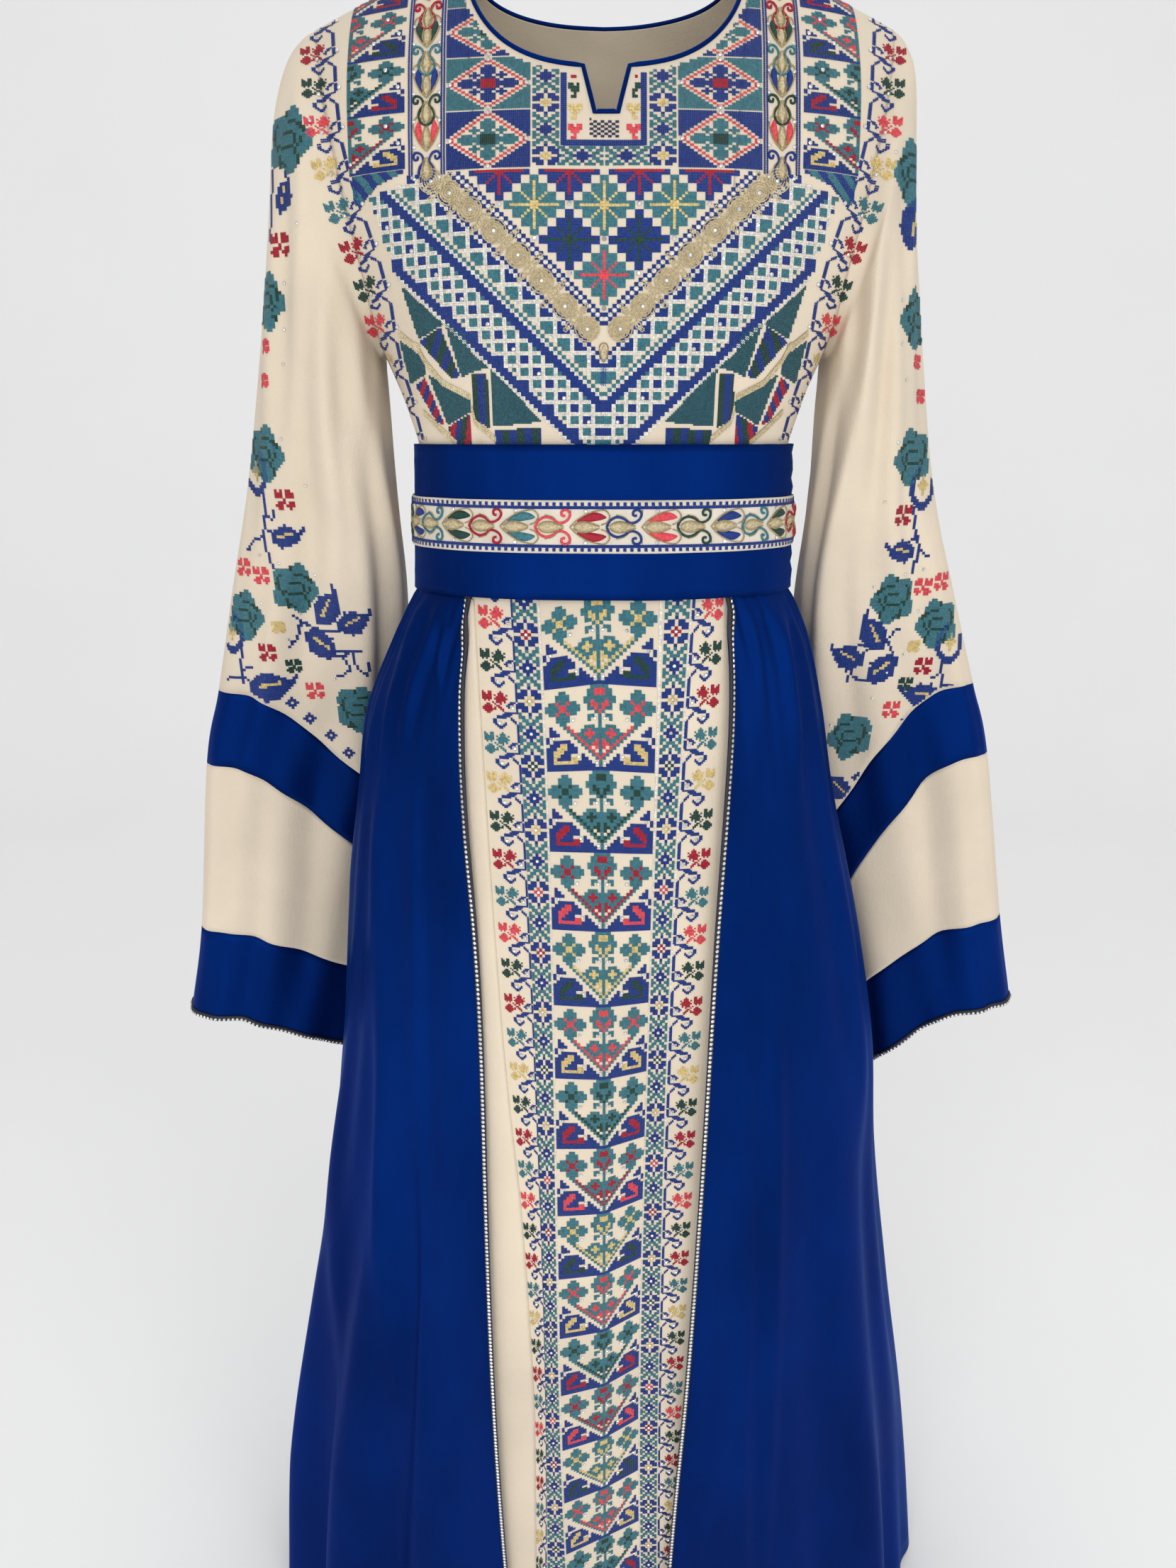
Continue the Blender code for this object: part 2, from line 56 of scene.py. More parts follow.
TENTHS = 10000
SIDES = {-1: "left", 1: "right"}
REST = 0.0003
WAIST = -0.362
UNDERARM = -0.243
SHOULDER_HALF = 0.189
SHOULDER_END = -0.043
NECK_HALF = 0.0885
FRONT_NECK_DROP = 0.0875
BACK_NECK_DROP = 0.022
NOTCH_TOP_HALF = 0.0148
NOTCH_FOOT_HALF = 0.0078
NOTCH_FOOT = -0.1145
SHOULDER_SLOPE = -SHOULDER_END / (SHOULDER_HALF - NECK_HALF)
SHOULDER_ROLL = 0.075
ROUNDNESS = 2.3
NECK_ROUNDNESS = 2.6
BUST_FULLNESS = 0.007
BUST_X = 0.066
BUST_Z = -0.192
BUST_REACH = 0.050
FOLD_GROWTH = 1.3
FOLD_POWER = 1.2
BELT_TOP = -0.304
BELT_FOOT = -0.404
RIBBON_TOP = -0.339
RIBBON_FOOT = -0.373
RIBBON_OUT = 0.0016
HEM = -1.420
UNDER_HEM = -1.416
SKIRT_SEAM = 0.0009
ARMHOLE_GAP = -0.0003
SLEEVE_FOLDS = 5
SLEEVE_FOLD_DEPTH = 0.0035
SLEEVE_FOLD_TURN = 0.8
SOFT_FOLD_DEPTH = 0.0018
FOLDED_BY_ROW = 6
ARMHOLE_KEPT_TO_ROW = 3
HEM_SWAYS_FROM_ROW = 6
HEM_SWAYS_BY_ROW = 9


def table(fields, text):
    """The rows of a table in text, with these columns."""
    kind = namedtuple("Row", fields)
    return tuple(kind(*(float(word) / TENTHS for word in line.split())) for line in text.strip().splitlines())


def places(text):
    """Places in text, each by how far out and how far down it is."""
    pairs = (pair.split() for pair in text.split(","))
    return [(float(out) / TENTHS, -float(down) / TENTHS) for out, down in pairs]


BODY = table("z edge chest front back", """
    -3620 1318 1318 930 780
    -3300 1316 1316 932 768
    -3060 1326 1326 938 768
    -2850 1385 1385 975 800
    -2620 1460 1465 1015 830
    -2430 1530 1545 1050 850
    -2000 1590 1730 1100 900
    -1500 1690 1900 1060 930
    -1000 1790 2010 900 910
    -430 1890 2080 680 800
    0 1960 2140 550 650
""")
SKIRT = table("z left right front back side stand", """
    -14200 3160 3220 780 2300 760 90
    -12500 2960 3000 840 2100 630 90
    -10500 2570 2610 960 1860 450 90
    -9000 2250 2360 1060 1660 300 80
    -7800 2060 2230 1080 1500 210 80
    -6800 1960 2030 1070 1360 140 70
    -5600 1830 1720 1040 1160 60 60
    -4900 1710 1600 1010 1020 10 50
    -4400 1500 1480 980 900 0 40
    -4040 1348 1348 955 800 0 22
    -3620 1318 1318 930 780 0 22
""")
SASH = table("z half_width front back", """
    -4040 1400 1010 855
    -3540 1378 993 830
    -3040 1362 977 805
""")
FRONT_EDGES = table("z left right", """
    -14200 760 530
    -11320 850 650
    -8890 880 720
    -6550 900 780
    -4800 950 850
    -3620 890 820
""")
SECTION = "outer_x outer_y outer_z inner_x inner_y inner_z depth"
SLEEVE_TABLES = {-1: table(SECTION, """
    1990 0 -500 1560 0 -2470 590
    2090 0 -640 1560 0 -2520 600
    2190 0 -950 1555 20 -2620 620
    2270 10 -1450 1550 40 -2820 610
    2380 20 -2050 1545 100 -3120 580
    2500 40 -2700 1540 220 -3550 540
    2660 100 -3450 1560 520 -4150 480
    2850 200 -4150 1660 900 -5000 410
    3060 300 -4940 1780 1160 -6050 380
    3240 360 -5560 1890 1280 -6700 390
    3460 440 -7060 2060 1420 -7750 440
    3640 480 -7900 2180 1480 -8560 470
"""), 1: table(SECTION, """
    1960 0 -500 1560 0 -2470 590
    2020 0 -640 1560 0 -2520 600
    2070 0 -950 1555 20 -2620 620
    2120 10 -1450 1550 40 -2820 610
    2210 20 -2050 1545 100 -3120 580
    2320 40 -2700 1540 220 -3600 540
    2480 100 -3450 1560 520 -4350 480
    2710 200 -4150 1660 900 -5400 410
    2960 300 -4880 1790 1180 -6550 380
    3150 360 -5480 1930 1320 -7350 390
    3430 440 -6980 2170 1480 -8150 440
    3620 480 -7820 2310 1580 -9000 470
""")}
Section = namedtuple("Section", SECTION)
SleeveRow = namedtuple("SleeveRow", "row " + SECTION)
# The skirt's folds: angle and width in degrees, depth in millimetres, top in centimetres.
FOLDS = (
    (-23, 5, -4, -55), (-38, 6, -22, -48), (-48, 6, 10, -55), (-60, 6, -16, -80), (-72, 6, 8, -70),
    (-81, 6, -10, -90), (26, 6, -6, -80), (40, 7, -12, -60), (52, 6, 8, -60), (64, 6, -14, -75), (77, 6, -8, -60),
    (101, 8, -14, -60), (124, 9, -20, -50), (147, 9, -16, -60), (170, 9, -20, -50), (-105, 8, -15, -60),
    (-128, 9, -20, -50), (-150, 9, -17, -60))


def smooth(keys, values, at):
    """Reads values that stand at rising keys, along a smooth curve through them."""
    slopes = np.gradient(values, keys)
    i = np.clip(np.searchsorted(keys, at) - 1, 0, len(keys) - 2)
    span = keys[i + 1] - keys[i]
    f = np.clip((at - keys[i]) / span, 0, 1)
    near = (1 + 2 * f) * (1 - f) ** 2 * values[i] + f * (1 - f) ** 2 * span * slopes[i]
    far = f**2 * (3 - 2 * f) * values[i + 1] + f**2 * (f - 1) * span * slopes[i + 1]
    return near + far


def curve(rows, column, at):
    """Reads a column of a table whose first column is the key."""
    rows = sorted(rows)
    keys, values = np.array([(row[0], getattr(row, column)) for row in rows], float).T
    return smooth(keys, values, np.asarray(at, float))


# ---------------------------------------------------------------- the surfaces


def shoulder_height(x):
    return -SHOULDER_SLOPE * (abs(x) - NECK_HALF)


def bodice_depth(x, z, column):
    across = np.minimum(abs(x) / curve(BODY, "chest", z), 1)
    depth = curve(BODY, column, z) * (1 - across**ROUNDNESS) ** (1 / ROUNDNESS)
    if column == "front":
        away = ((abs(x) - BUST_X) ** 2 + (z - BUST_Z) ** 2) / BUST_REACH**2
        depth = depth + BUST_FULLNESS * np.exp(-away)
    below = np.clip((shoulder_height(x) - z) / SHOULDER_ROLL, 0, 1)
    return depth * np.sqrt(1 - (1 - below) ** 2)


def round_neck(x, drop):
    inside = np.clip(1 - (abs(x) / NECK_HALF) ** NECK_ROUNDNESS, 0, 1)
    return -drop * inside ** (1 / NECK_ROUNDNESS)


def front_neck(x):
    """The height of the front neck edge: a round neck with a notch in it."""
    top = round_neck(NOTCH_TOP_HALF, FRONT_NECK_DROP)
    rise = np.clip((abs(x) - NOTCH_FOOT_HALF) / (NOTCH_TOP_HALF - NOTCH_FOOT_HALF), 0, 1)
    notch = NOTCH_FOOT + rise * (top - NOTCH_FOOT)
    return np.where(abs(x) <= NOTCH_TOP_HALF, notch, round_neck(x, FRONT_NECK_DROP))


def bodice_point(top_x, level, column):
    """Points of the bodice, in the columns that end at top_x, at levels counted up the armhole."""
    neck = front_neck(top_x) if column == "front" else round_neck(top_x, BACK_NECK_DROP)
    top = np.where(abs(top_x) < NECK_HALF, neck, shoulder_height(top_x))
    z = WAIST + (top - WAIST) * (level - WAIST) / (SHOULDER_END - WAIST)
    x = top_x / SHOULDER_HALF * curve(BODY, "edge", level)
    depth = np.maximum(bodice_depth(x, z, column), REST)
    return np.stack(np.broadcast_arrays(x, -depth if column == "front" else depth, z), -1)


def oval(angle, half_width, front, back):
    sine, cosine = np.sin(angle), np.cos(angle)
    x = half_width * np.sign(sine) * abs(sine) ** (2 / ROUNDNESS)
    return x, np.where(cosine > 0, -front, back) * abs(cosine) ** (2 / ROUNDNESS)


def oval_angle(x, half_width):
    return np.arcsin(np.minimum(x / half_width, 1) ** (ROUNDNESS / 2))


def fold_depth(angle, z):
    total = np.zeros(np.broadcast(angle, z).shape)
    for middle, width, depth, top in FOLDS:
        away = (np.degrees(angle) - middle + 180) % 360 - 180
        grown = np.clip((top / 100 - z) / (top / 100 - HEM) * FOLD_GROWTH, 0, 1)
        total = total + depth / 1000 * grown**FOLD_POWER * np.exp(-((away / width) ** 2))
    return total


def skirt_half(angle, z):
    return np.where(angle < 0, curve(SKIRT, "left", z), curve(SKIRT, "right", z))


def stand(z):
    """How far the overskirt stands off the underskirt."""
    return curve(SKIRT, "stand", z)


def skirt_depths(z):
    """How far the skirt's middle lies back, and its front and back from there."""
    side = curve(SKIRT, "side", z)
    return side, curve(SKIRT, "front", z) + side, curve(SKIRT, "back", z) - side


def skirt_point(angle, z, out=0.0):
    """Points of the underskirt's outside, moved out; angle is 0 at the front's middle, in radians."""
    side, front, back = skirt_depths(z)
    x, y = oval(angle, skirt_half(angle, z), front, back)
    push = 1 + (out + fold_depth(angle, z)) / np.hypot(x, y)
    return np.stack(np.broadcast_arrays(x * push, side + y * push, z - REST), -1)


def seam_angle(z, half, out):
    depth = skirt_depths(z)[1 if half == "front" else 2]
    return np.arccos((SKIRT_SEAM / 2 / (depth + out)) ** (ROUNDNESS / 2))


def front_edge(z, side, inset=0.0):
    x = curve(FRONT_EDGES, SIDES[side], z) + inset
    return side * oval_angle(x, curve(SKIRT, SIDES[side], z) + stand(z))


def wrap(angle):
    return (angle + math.pi) % (2 * math.pi) - math.pi


def armhole(side, share):
    """Points of the armhole's edge, from the underarm up the front to the shoulder and down the back."""
    middle, half = (UNDERARM + SHOULDER_END) / 2, (SHOULDER_END - UNDERARM) / 2
    level = middle - half * np.cos(2 * math.pi * share)
    front, back = (bodice_point(side * SHOULDER_HALF, level, column) for column in ("front", "back"))
    points = np.where((share <= 0.5)[..., None], front, back)
    points[..., 0] += side * ARMHOLE_GAP
    points[..., 1] *= np.minimum(abs(np.sin(2 * math.pi * share)) * 12, 1)
    return points


def sleeve_sections(side):
    top = armhole(side, np.array([0.0, 0.5]))
    deepest = abs(armhole(side, np.linspace(0, 1, 49))[:, 1]).max()
    first = Section(abs(top[1, 0]), 0.0, top[1, 2], abs(top[0, 0]), 0.0, top[0, 2], deepest)
    return tuple(SleeveRow(n, *section) for n, section in enumerate((first,) + SLEEVE_TABLES[side]))


SLEEVES = {side: sleeve_sections(side) for side in SIDES}


def section_point(section, side, share, row):
    """Points round a sleeve's section: share 0 is its inner fold, and it goes round by the front."""
    turn = 2 * math.pi * share
    outer = np.stack((side * section.outer_x, section.outer_y, section.outer_z), -1)
    inner = np.stack((side * section.inner_x, section.inner_y, section.inner_z), -1)
    centre, reach = (outer + inner) / 2, (outer - inner) / 2
    flat = np.hypot(reach[..., 0], reach[..., 1])
    ahead = np.stack((reach[..., 1] / flat, -reach[..., 0] / flat, flat * 0), -1) * side
    ripple = SLEEVE_FOLD_DEPTH * np.sin(SLEEVE_FOLDS * turn + SLEEVE_FOLD_TURN) * np.sin(turn) ** 2
    soft = np.sin(9 * turn + 0.35 * row + 0.8) + 0.6 * np.sin(14 * turn - 0.5 * row)
    faded = SOFT_FOLD_DEPTH * soft * np.sin(turn) ** 2 * np.clip(row / 1.5, 0, 1) * np.clip((8.5 - row) / 3, 0, 1)
    across = section.depth + (ripple + faded) * np.minimum(row / FOLDED_BY_ROW, 1)
    point = centre - reach * np.cos(turn)[..., None] + ahead * (across * np.sin(turn))[..., None]
    sway = np.clip((row - HEM_SWAYS_FROM_ROW) / (HEM_SWAYS_BY_ROW - HEM_SWAYS_FROM_ROW), 0, 1)
    point[..., 2] += sway * reach[..., 2] * (np.cos(turn) - np.sin(math.pi / 2 * np.cos(turn)))
    return point


def sleeve_point(side, row, share):
    """Points of a sleeve: its rows run from 0 at the armhole to 12 at the hem."""
    row, share = np.broadcast_arrays(np.asarray(row, float), np.asarray(share, float))
    rows = SLEEVES[side]
    section = Section(*(curve(rows, field, row) for field in Section._fields))
    keep = np.clip(1 - row / ARMHOLE_KEPT_TO_ROW, 0, 1) ** 2
    first = Section(*(np.full(row.shape, value) for value in rows[0][1:]))
    miss = armhole(side, share) - section_point(first, side, share, row * 0)
    return section_point(section, side, share, row) + keep[..., None] * miss


def band_point(angle, z, out):
    half_width, front, back = (curve(SASH, column, z) + out for column in ("half_width", "front", "back"))
    x, y = oval(angle, half_width, front, back)
    return np.stack(np.broadcast_arrays(x, y, z), -1)


# ---------------------------------------------------------------- materials


def node(tree, kind, inputs, output, **settings):
    """The output of a new node, whose inputs are set to values or joined to other outputs."""
    made = tree.nodes.new("ShaderNode" + kind)
    for setting, value in settings.items():
        setattr(made, setting, value)
    for socket, value in inputs.items():
        if isinstance(value, bpy.types.NodeSocket):
            tree.links.new(value, made.inputs[socket])
        else:
            made.inputs[socket].default_value = value
    return made.outputs[output]


def grain(scale, detail=1, stretch=(1, 1, 1)):
    """A noise of this scale, as a function of the tree that it is made in."""
    def made(tree):
        place = node(tree, "TexCoord", {}, "Object")
        place = node(tree, "Mapping", {"Vector": place, "Scale": stretch}, "Vector")
        return node(tree, "TexNoise", {"Vector": place, "Scale": scale, "Detail": detail, "Roughness": 0.55}, "Fac")
    return made


def both(first, second, share):
    """Two noises, the second of them times a share."""
    return lambda tree: node(tree, "Math", {0: second(tree), 1: share, 2: first(tree)}, "Value",
                             operation="MULTIPLY_ADD")


def finish(name, colour, tone_and_sheen, rough, bump=None, height=0.0003, strength=0.6, **constants):
    """A material: its colour runs from low to high by a noise, a random tone; on the satin that noise is stretched down
    the cloth into streaks of painted sheen. Its roughness runs low to high too.
    """
    made = bpy.data.materials.new(name)
    made.use_nodes = True
    tree = made.node_tree
    shader = tree.nodes["Principled BSDF"]
    pattern = tone_and_sheen[0](tree)

    def ramp(low, high):
        return node(tree, "MapRange", {"Value": pattern, "From Min": 0.3, "From Max": 0.7,
                                       "To Min": low, "To Max": high}, "Result")

    tinted = node(tree, "Mix", {"Factor": 1.0, "A": (*colour, 1), "B": ramp(*tone_and_sheen[1:])}, "Result",
                  data_type="RGBA", blend_type="MULTIPLY")
    tree.links.new(tinted, shader.inputs["Base Color"])
    tree.links.new(ramp(*rough), shader.inputs["Roughness"])
    if bump:
        bumped = node(tree, "Bump", {"Distance": height, "Strength": strength, "Height": bump(tree)}, "Normal")
        tree.links.new(bumped, shader.inputs["Normal"])
    for socket, value in constants.items():
        shader.inputs[socket.replace("_", " ")].default_value = value
    return made


IVORY = finish("ivory_crepe", (0.705, 0.605, 0.47), (grain(9, 4), 0.9, 1.04), (0.8, 0.92),
               both(grain(900, 2), grain(330, 3, (1, 1, 0.35)), 0.9), 0.0005, 0.55,
               Sheen_Weight=0.12, Sheen_Roughness=0.5)
# The satin's colour noise is stretched down the cloth into lighter and darker streaks: a random tone that also serves
# as painted sheen.
SATIN = finish("blue_satin", (0.0008, 0.0160, 0.125), (grain(11, 4, (1, 1, 0.4)), 0.72, 1.25), (0.38, 0.50),
               both(grain(1500, 1, (1, 1, 0.25)), grain(38, 3, (1, 1, 0.3)), 3.0), 0.0006, 0.35,
               Metallic=0.55, Specular_IOR_Level=0.04, Specular_Tint=(0.25, 0.45, 1.0, 1.0),
               Sheen_Weight=0.16, Sheen_Roughness=0.45, Sheen_Tint=(0.015, 0.12, 0.5, 1.0))
WOVEN = finish("ribbon_ground", (0.73, 0.66, 0.55), (grain(60, 4), 0.86, 1.05), (0.6, 0.75),
               grain(1400, 1, (1, 1, 3)), 0.0004)
TAPE = finish("black_tape", (0.012, 0.012, 0.02), (grain(300, 4), 0.6, 1.3), (0.5, 0.7), grain(1300, 2), 0.0004)
STONE = finish("rhinestone", (0.78, 0.78, 0.78), (grain(400, 4), 0.75, 1.1), (0.05, 0.14), Metallic=0.72)
GOLD = finish("gold_thread", (0.72, 0.61, 0.38), (grain(700, 4), 0.6, 1.15), (0.35, 0.5), grain(2200),
              Metallic=0.25)
LOOKS = {"ivory_crepe": IVORY, "blue_satin": SATIN, "woven_ribbon": WOVEN, "black_tape": TAPE}
THREADS = {"stone": STONE, "gold": GOLD}
for word, colour in (
    ("blue", (0.008, 0.034, 0.205)),
    ("navy", (0.008, 0.018, 0.075)),
    ("teal", (0.044, 0.172, 0.212)),
    ("cream", (0.56, 0.47, 0.31)),
    ("pale", (0.52, 0.43, 0.26)),
    ("bronze", (0.38, 0.29, 0.13)),
    ("deep", (0.018, 0.085, 0.110)),
    ("green", (0.012, 0.050, 0.040)),
    ("red", (0.36, 0.010, 0.030)),
    ("coral", (0.68, 0.065, 0.085)),
    ("ochre", (0.66, 0.50, 0.20)),
    ("white", (0.715, 0.675, 0.60)),
):
    THREADS[word] = finish(f"thread_{word}", colour, (grain(650, 4), 0.62, 1.3), (0.42, 0.6), grain(2600),
                           0.0002, 0.5, Specular_IOR_Level=0.25)


# ---------------------------------------------------------------- meshes

# An eight-sided cut stone of 25 points: a ring at its foot, one at its bevel, one at its top, and its middle.
STONE_FACES = [face for i in range(8) for j in ((i + 1) % 8,) for face in (
    (i, j, j + 8), (i, j + 8, i + 8), (i + 8, j + 8, j + 16), (i + 8, j + 16, i + 16), (i + 16, j + 16, 24))]


def unit(vectors):
    return vectors / np.maximum(np.linalg.norm(vectors, axis=-1, keepdims=True), 1e-9)


def length_along(line):
    return np.concatenate(([0], np.cumsum(np.linalg.norm(np.diff(line, axis=0), axis=1))))


def spaced(gone, pitch):
    """Distances about a pitch apart, along a line whose points are this far along it."""
    count = max(int(gone[-1] / pitch), 1)
    return (np.arange(count) + 0.5) * gone[-1] / count


def read_line(line, gone, at):
    return np.stack([np.interp(at, gone, column) for column in line.T], 1)


def walk(path, pitch):
    """Places spaced by a pitch along a path, and which way it runs there."""
    path = np.asarray(path, float)
    gone = length_along(path)
    at = spaced(gone, pitch)
    run = read_line(path, gone, at + pitch * 0.3) - read_line(path, gone, at - pitch * 0.3)
    return read_line(path, gone, at), unit(run)


def circle(count, squash=1.0):
    """A ring of points round the middle, which ends where it starts."""
    turn = np.linspace(0, 2 * math.pi, count)
    return np.stack((np.cos(turn), squash * np.sin(turn)), 1)


def octagons(start, first, second):
    """Eight points round each place, between two directions there."""
    turn = (np.arange(8) * math.pi / 4 + start)[None, :, None]
    return np.cos(turn) * first[:, None] + np.sin(turn) * second[:, None]


def copies(faces, count, size, start=0):
    """The faces of so many copies, each of so many points."""
    offsets = start + np.arange(count) * size
    return (np.asarray(faces)[None] + offsets[:, None, None]).reshape(-1, 3)


def place(name, points, faces, materials, slot, flat_at=None):
    """A mesh as a piece; with flat_at, a material's number for each face, its faces are flat."""
    mesh = bpy.data.meshes.new(name)
    points, faces = np.asarray(points, np.float32), np.asarray(faces, np.int32)
    mesh.vertices.add(len(points))
    mesh.vertices.foreach_set("co", points.ravel())
    mesh.loops.add(faces.size)
    mesh.loops.foreach_set("vertex_index", faces.ravel())
    mesh.polygons.add(len(faces))
    mesh.polygons.foreach_set("loop_start", np.arange(0, faces.size, faces.shape[1], dtype=np.int32))
    for made in materials:
        mesh.materials.append(made)
    if flat_at is not None:
        mesh.polygons.foreach_set("material_index", np.asarray(flat_at, np.int32))
    mesh.polygons.foreach_set("use_smooth", np.full(len(faces), flat_at is None))
    mesh.update(calc_edges=True)
    mesh.validate()
    piece = bpy.data.objects.new(name, mesh)
    bpy.context.scene.collection.objects.link(piece)
    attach(piece, "root")
    return piece


def net_faces(rows, columns, closed=False, looped=False):
    """The quads of a net, which may be closed across its columns and looped over its rows."""
    lower = np.arange(rows * columns).reshape(rows, columns)
    if looped:
        lower = np.vstack((lower, lower[:1]))
    if closed:
        lower = np.hstack((lower, lower[:, :1]))
    quads = np.stack((lower[:-1, :-1], lower[:-1, 1:], lower[1:, 1:], lower[1:, :-1]), -1)
    return quads.reshape(-1, 4)


def place_net(name, net, slot, closed=False):
    """A piece through a net of points: rows from its foot up, each running to the left of its outside."""
    return place(name, net.reshape(-1, 3), net_faces(*net.shape[:2], closed), [LOOKS[slot]], slot)


def thicken(piece, wall, even=True):
    solid = piece.modifiers.new("wall", "SOLIDIFY")
    solid.thickness, solid.offset, solid.use_quality_normals = wall, -1, even


class Field:
    """How far back a cloth lies, seen from the front or the back, over a window of x and z."""

    def __init__(self, nets, x, z, facing=-1, step=0.002):
        self.facing, self.step, self.x0, self.z0 = facing, step, x[0], z[0]
        points, faces, start = [], [], 0
        for net, closed in nets:
            points.append(net.reshape(-1, 3))
            faces.append(net_faces(*net.shape[:2], closed) + start)
            start += net.shape[0] * net.shape[1]
        tree = BVHTree.FromPolygons([Vector(p) for p in np.vstack(points)], np.vstack(faces).tolist())
        self.depth = np.full([int((end[1] - end[0]) / step) + 2 for end in (z, x)], np.nan)
        way, far = Vector((0, -facing, 0)), facing * 2.0
        for r, c in np.ndindex(self.depth.shape):
            hit = tree.ray_cast(Vector((x[0] + c * step, far, z[0] + r * step)), way)[0]
            if hit:
                self.depth[r, c] = hit.y
        self.slope_z, self.slope_x = np.gradient(self.depth, step)

    def read(self, values, x, z):
        c, r = (x - self.x0) / self.step, (z - self.z0) / self.step
        ci = np.clip(np.floor(c).astype(int), 0, values.shape[1] - 2)
        ri = np.clip(np.floor(r).astype(int), 0, values.shape[0] - 2)
        fc, fr = c - ci, r - ri
        low, high = (values[row, ci] * (1 - fc) + values[row, ci + 1] * fc for row in (ri, ri + 1))
        beyond = (c < 0) | (r < 0) | (c > values.shape[1] - 1) | (r > values.shape[0] - 1)
        return np.where(beyond, np.nan, low * (1 - fr) + high * fr)

    def at(self, spots, lift):
        """Points over spots given by x and z, lifted off the cloth; nan where there is no cloth."""
        x, z = spots[..., 0], spots[..., 1]
        y, slope_x, slope_z = (self.read(values, x, z) for values in (self.depth, self.slope_x, self.slope_z))
        away = np.stack((-self.facing * slope_x, np.full(x.shape, float(self.facing)), -self.facing * slope_z), -1)
        return np.stack((x, y, z), -1) + unit(away) * np.asarray(lift)[..., None]


class Work:
    """Everything that is sewn on one cloth: stitches, satin-stitched strips, cords and stones, by thread."""

    def __init__(self, field, keep=None):
        self.field, self.keep = field, keep
        self.points, self.faces, self.threads, self.count = [], [], [], 0

    def add(self, points, faces, thread):
        """Adds copies of a shape: points is (n, k, 3) and faces (m, 3) into k, as seen from the front."""
        good = ~np.isnan(points).any(axis=(1, 2))
        if self.keep is not None:
            good &= self.keep(points.mean(axis=1))
        points = points[good]
        if len(points):
            faces = np.asarray(faces)[:, ::-self.field.facing]
            self.points.append(points.reshape(-1, 3))
            self.faces.append(copies(faces, len(points), points.shape[1], self.count))
            self.threads += [thread] * (len(points) * len(faces))
            self.count += points.shape[0] * points.shape[1]

    def stitches(self, centres, along, across, thread, height=0.00055):
        """Stitches at centres (n, 2), with half sides along and across, (n, 2) or one pair for all."""
        centres = np.asarray(centres, float).reshape(-1, 2)
        if len(centres):
            u, v = (np.broadcast_to(np.asarray(w, float), centres.shape) for w in (along, across))
            corners = np.stack((centres - u - v, centres + u - v, centres + u + v, centres - u + v), 1)
            lift = np.tile((CLEAR, height, CLEAR, height), (len(centres), 1))
            self.add(self.field.at(corners, lift), ((0, 1, 3), (1, 2, 3)), thread)

    def strip(self, path, widths, thread, height):
        """A padded strip along a path of x and z, which is this wide at each side of it."""
        path, widths = np.asarray(path, float), np.broadcast_to(widths, (len(path),))
        run = np.gradient(path, axis=0)
        offset = unit(np.stack((-run[:, 1], run[:, 0]), 1)) * widths[:, None]
        spots = np.stack((path - offset, path - offset * 0.5, path + offset * 0.5, path + offset), 1)
        rise = height * np.minimum(widths / max(np.max(widths), 1e-9), 1)[:, None]
        lift = np.hstack((rise * 0 + CLEAR, rise * 0.85, rise, rise * 0 + CLEAR))
        faces = net_faces(len(path), 4)
        faces = np.vstack((faces[:, (0, 1, 2)], faces[:, (0, 2, 3)]))[:, ::-1]
        self.add(self.field.at(spots, lift).reshape(1, -1, 3), faces, thread)

    def beads(self, path, cord):
        """A twisted cord along a path: slanted stitches laid end to end."""
        centres, run = walk(path, cord.pitch)
        side = np.stack((-run[:, 1], run[:, 0]), 1)
        self.stitches(centres, run * cord.pitch * 0.52, (side + run * 0.5) * cord.half, cord.thread, cord.height)

    def stones(self, centres, radius):
        """Cut stones at centres."""
        centres = np.asarray(centres, float).reshape(-1, 1, 2)
        if len(centres):
            turn = np.arange(8) * math.pi / 4
            ring = np.stack((np.cos(turn), np.sin(turn)), 1) * radius
            spots = np.concatenate((centres + ring, centres + ring, centres + ring * 0.55, centres), 1)
            lift = np.array([CLEAR] * 8 + [radius * 0.45] * 8 + [radius * 0.85] * 9) + 0.0002
            self.add(self.field.at(spots, np.tile(lift, (len(centres), 1))), STONE_FACES, "stone")

    def build(self, name, slot, unroll=lambda points: points[:, (0, 2)]):
        """One mesh of it all, with a flat bake map over the front."""
        used = sorted(set(self.threads))
        number = {word: i for i, word in enumerate(used)}
        points, faces = np.vstack(self.points), np.vstack(self.faces)
        piece = place(name, points, faces, [THREADS[word] for word in used], slot,
                      [number[word] for word in self.threads])
        flat = unroll(points)
        flat = flat - flat.min(0)
        flat = flat / flat.max() * 0.98 + 0.01
        layer = piece.data.uv_layers.new(name="OFBake")
        layer.data.foreach_set("uv", flat[faces.ravel()].ravel().astype(np.float32))


# How far everything sewn stands clear of its cloth, the stones' radii and the cords.
CLEAR = 0.0001
TINY, SMALL, MEDIUM, LARGE = 0.0011, 0.0012, 0.0013, 0.0014
Cord = namedtuple("Cord", "pitch half thread height")
LEAF_CORD = Cord(0.0011, 0.00042, "bronze", 0.0011)
CURL_CORD = Cord(0.0012, 0.00035, "bronze", 0.0008)
HEART_CORD = Cord(0.0010, 0.00036, "bronze", 0.0012)
DROP_CORD = Cord(0.0010, 0.00040, "bronze", 0.0010)
BAND_CORD = Cord(0.0013, 0.00055, "blue", 0.0008)
ROSETTE_CORD = Cord(0.0010, 0.00042, "gold", 0.0012)
RING_CORD = Cord(0.0011, 0.00045, "gold", 0.0010)
CHEST_CORD = Cord(0.0013, 0.00065, "gold", 0.0011)


# ---------------------------------------------------------------- the cloths


def smooth_step(value):
    value = np.clip(value, 0, 1)
    return value * value * (3 - 2 * value)


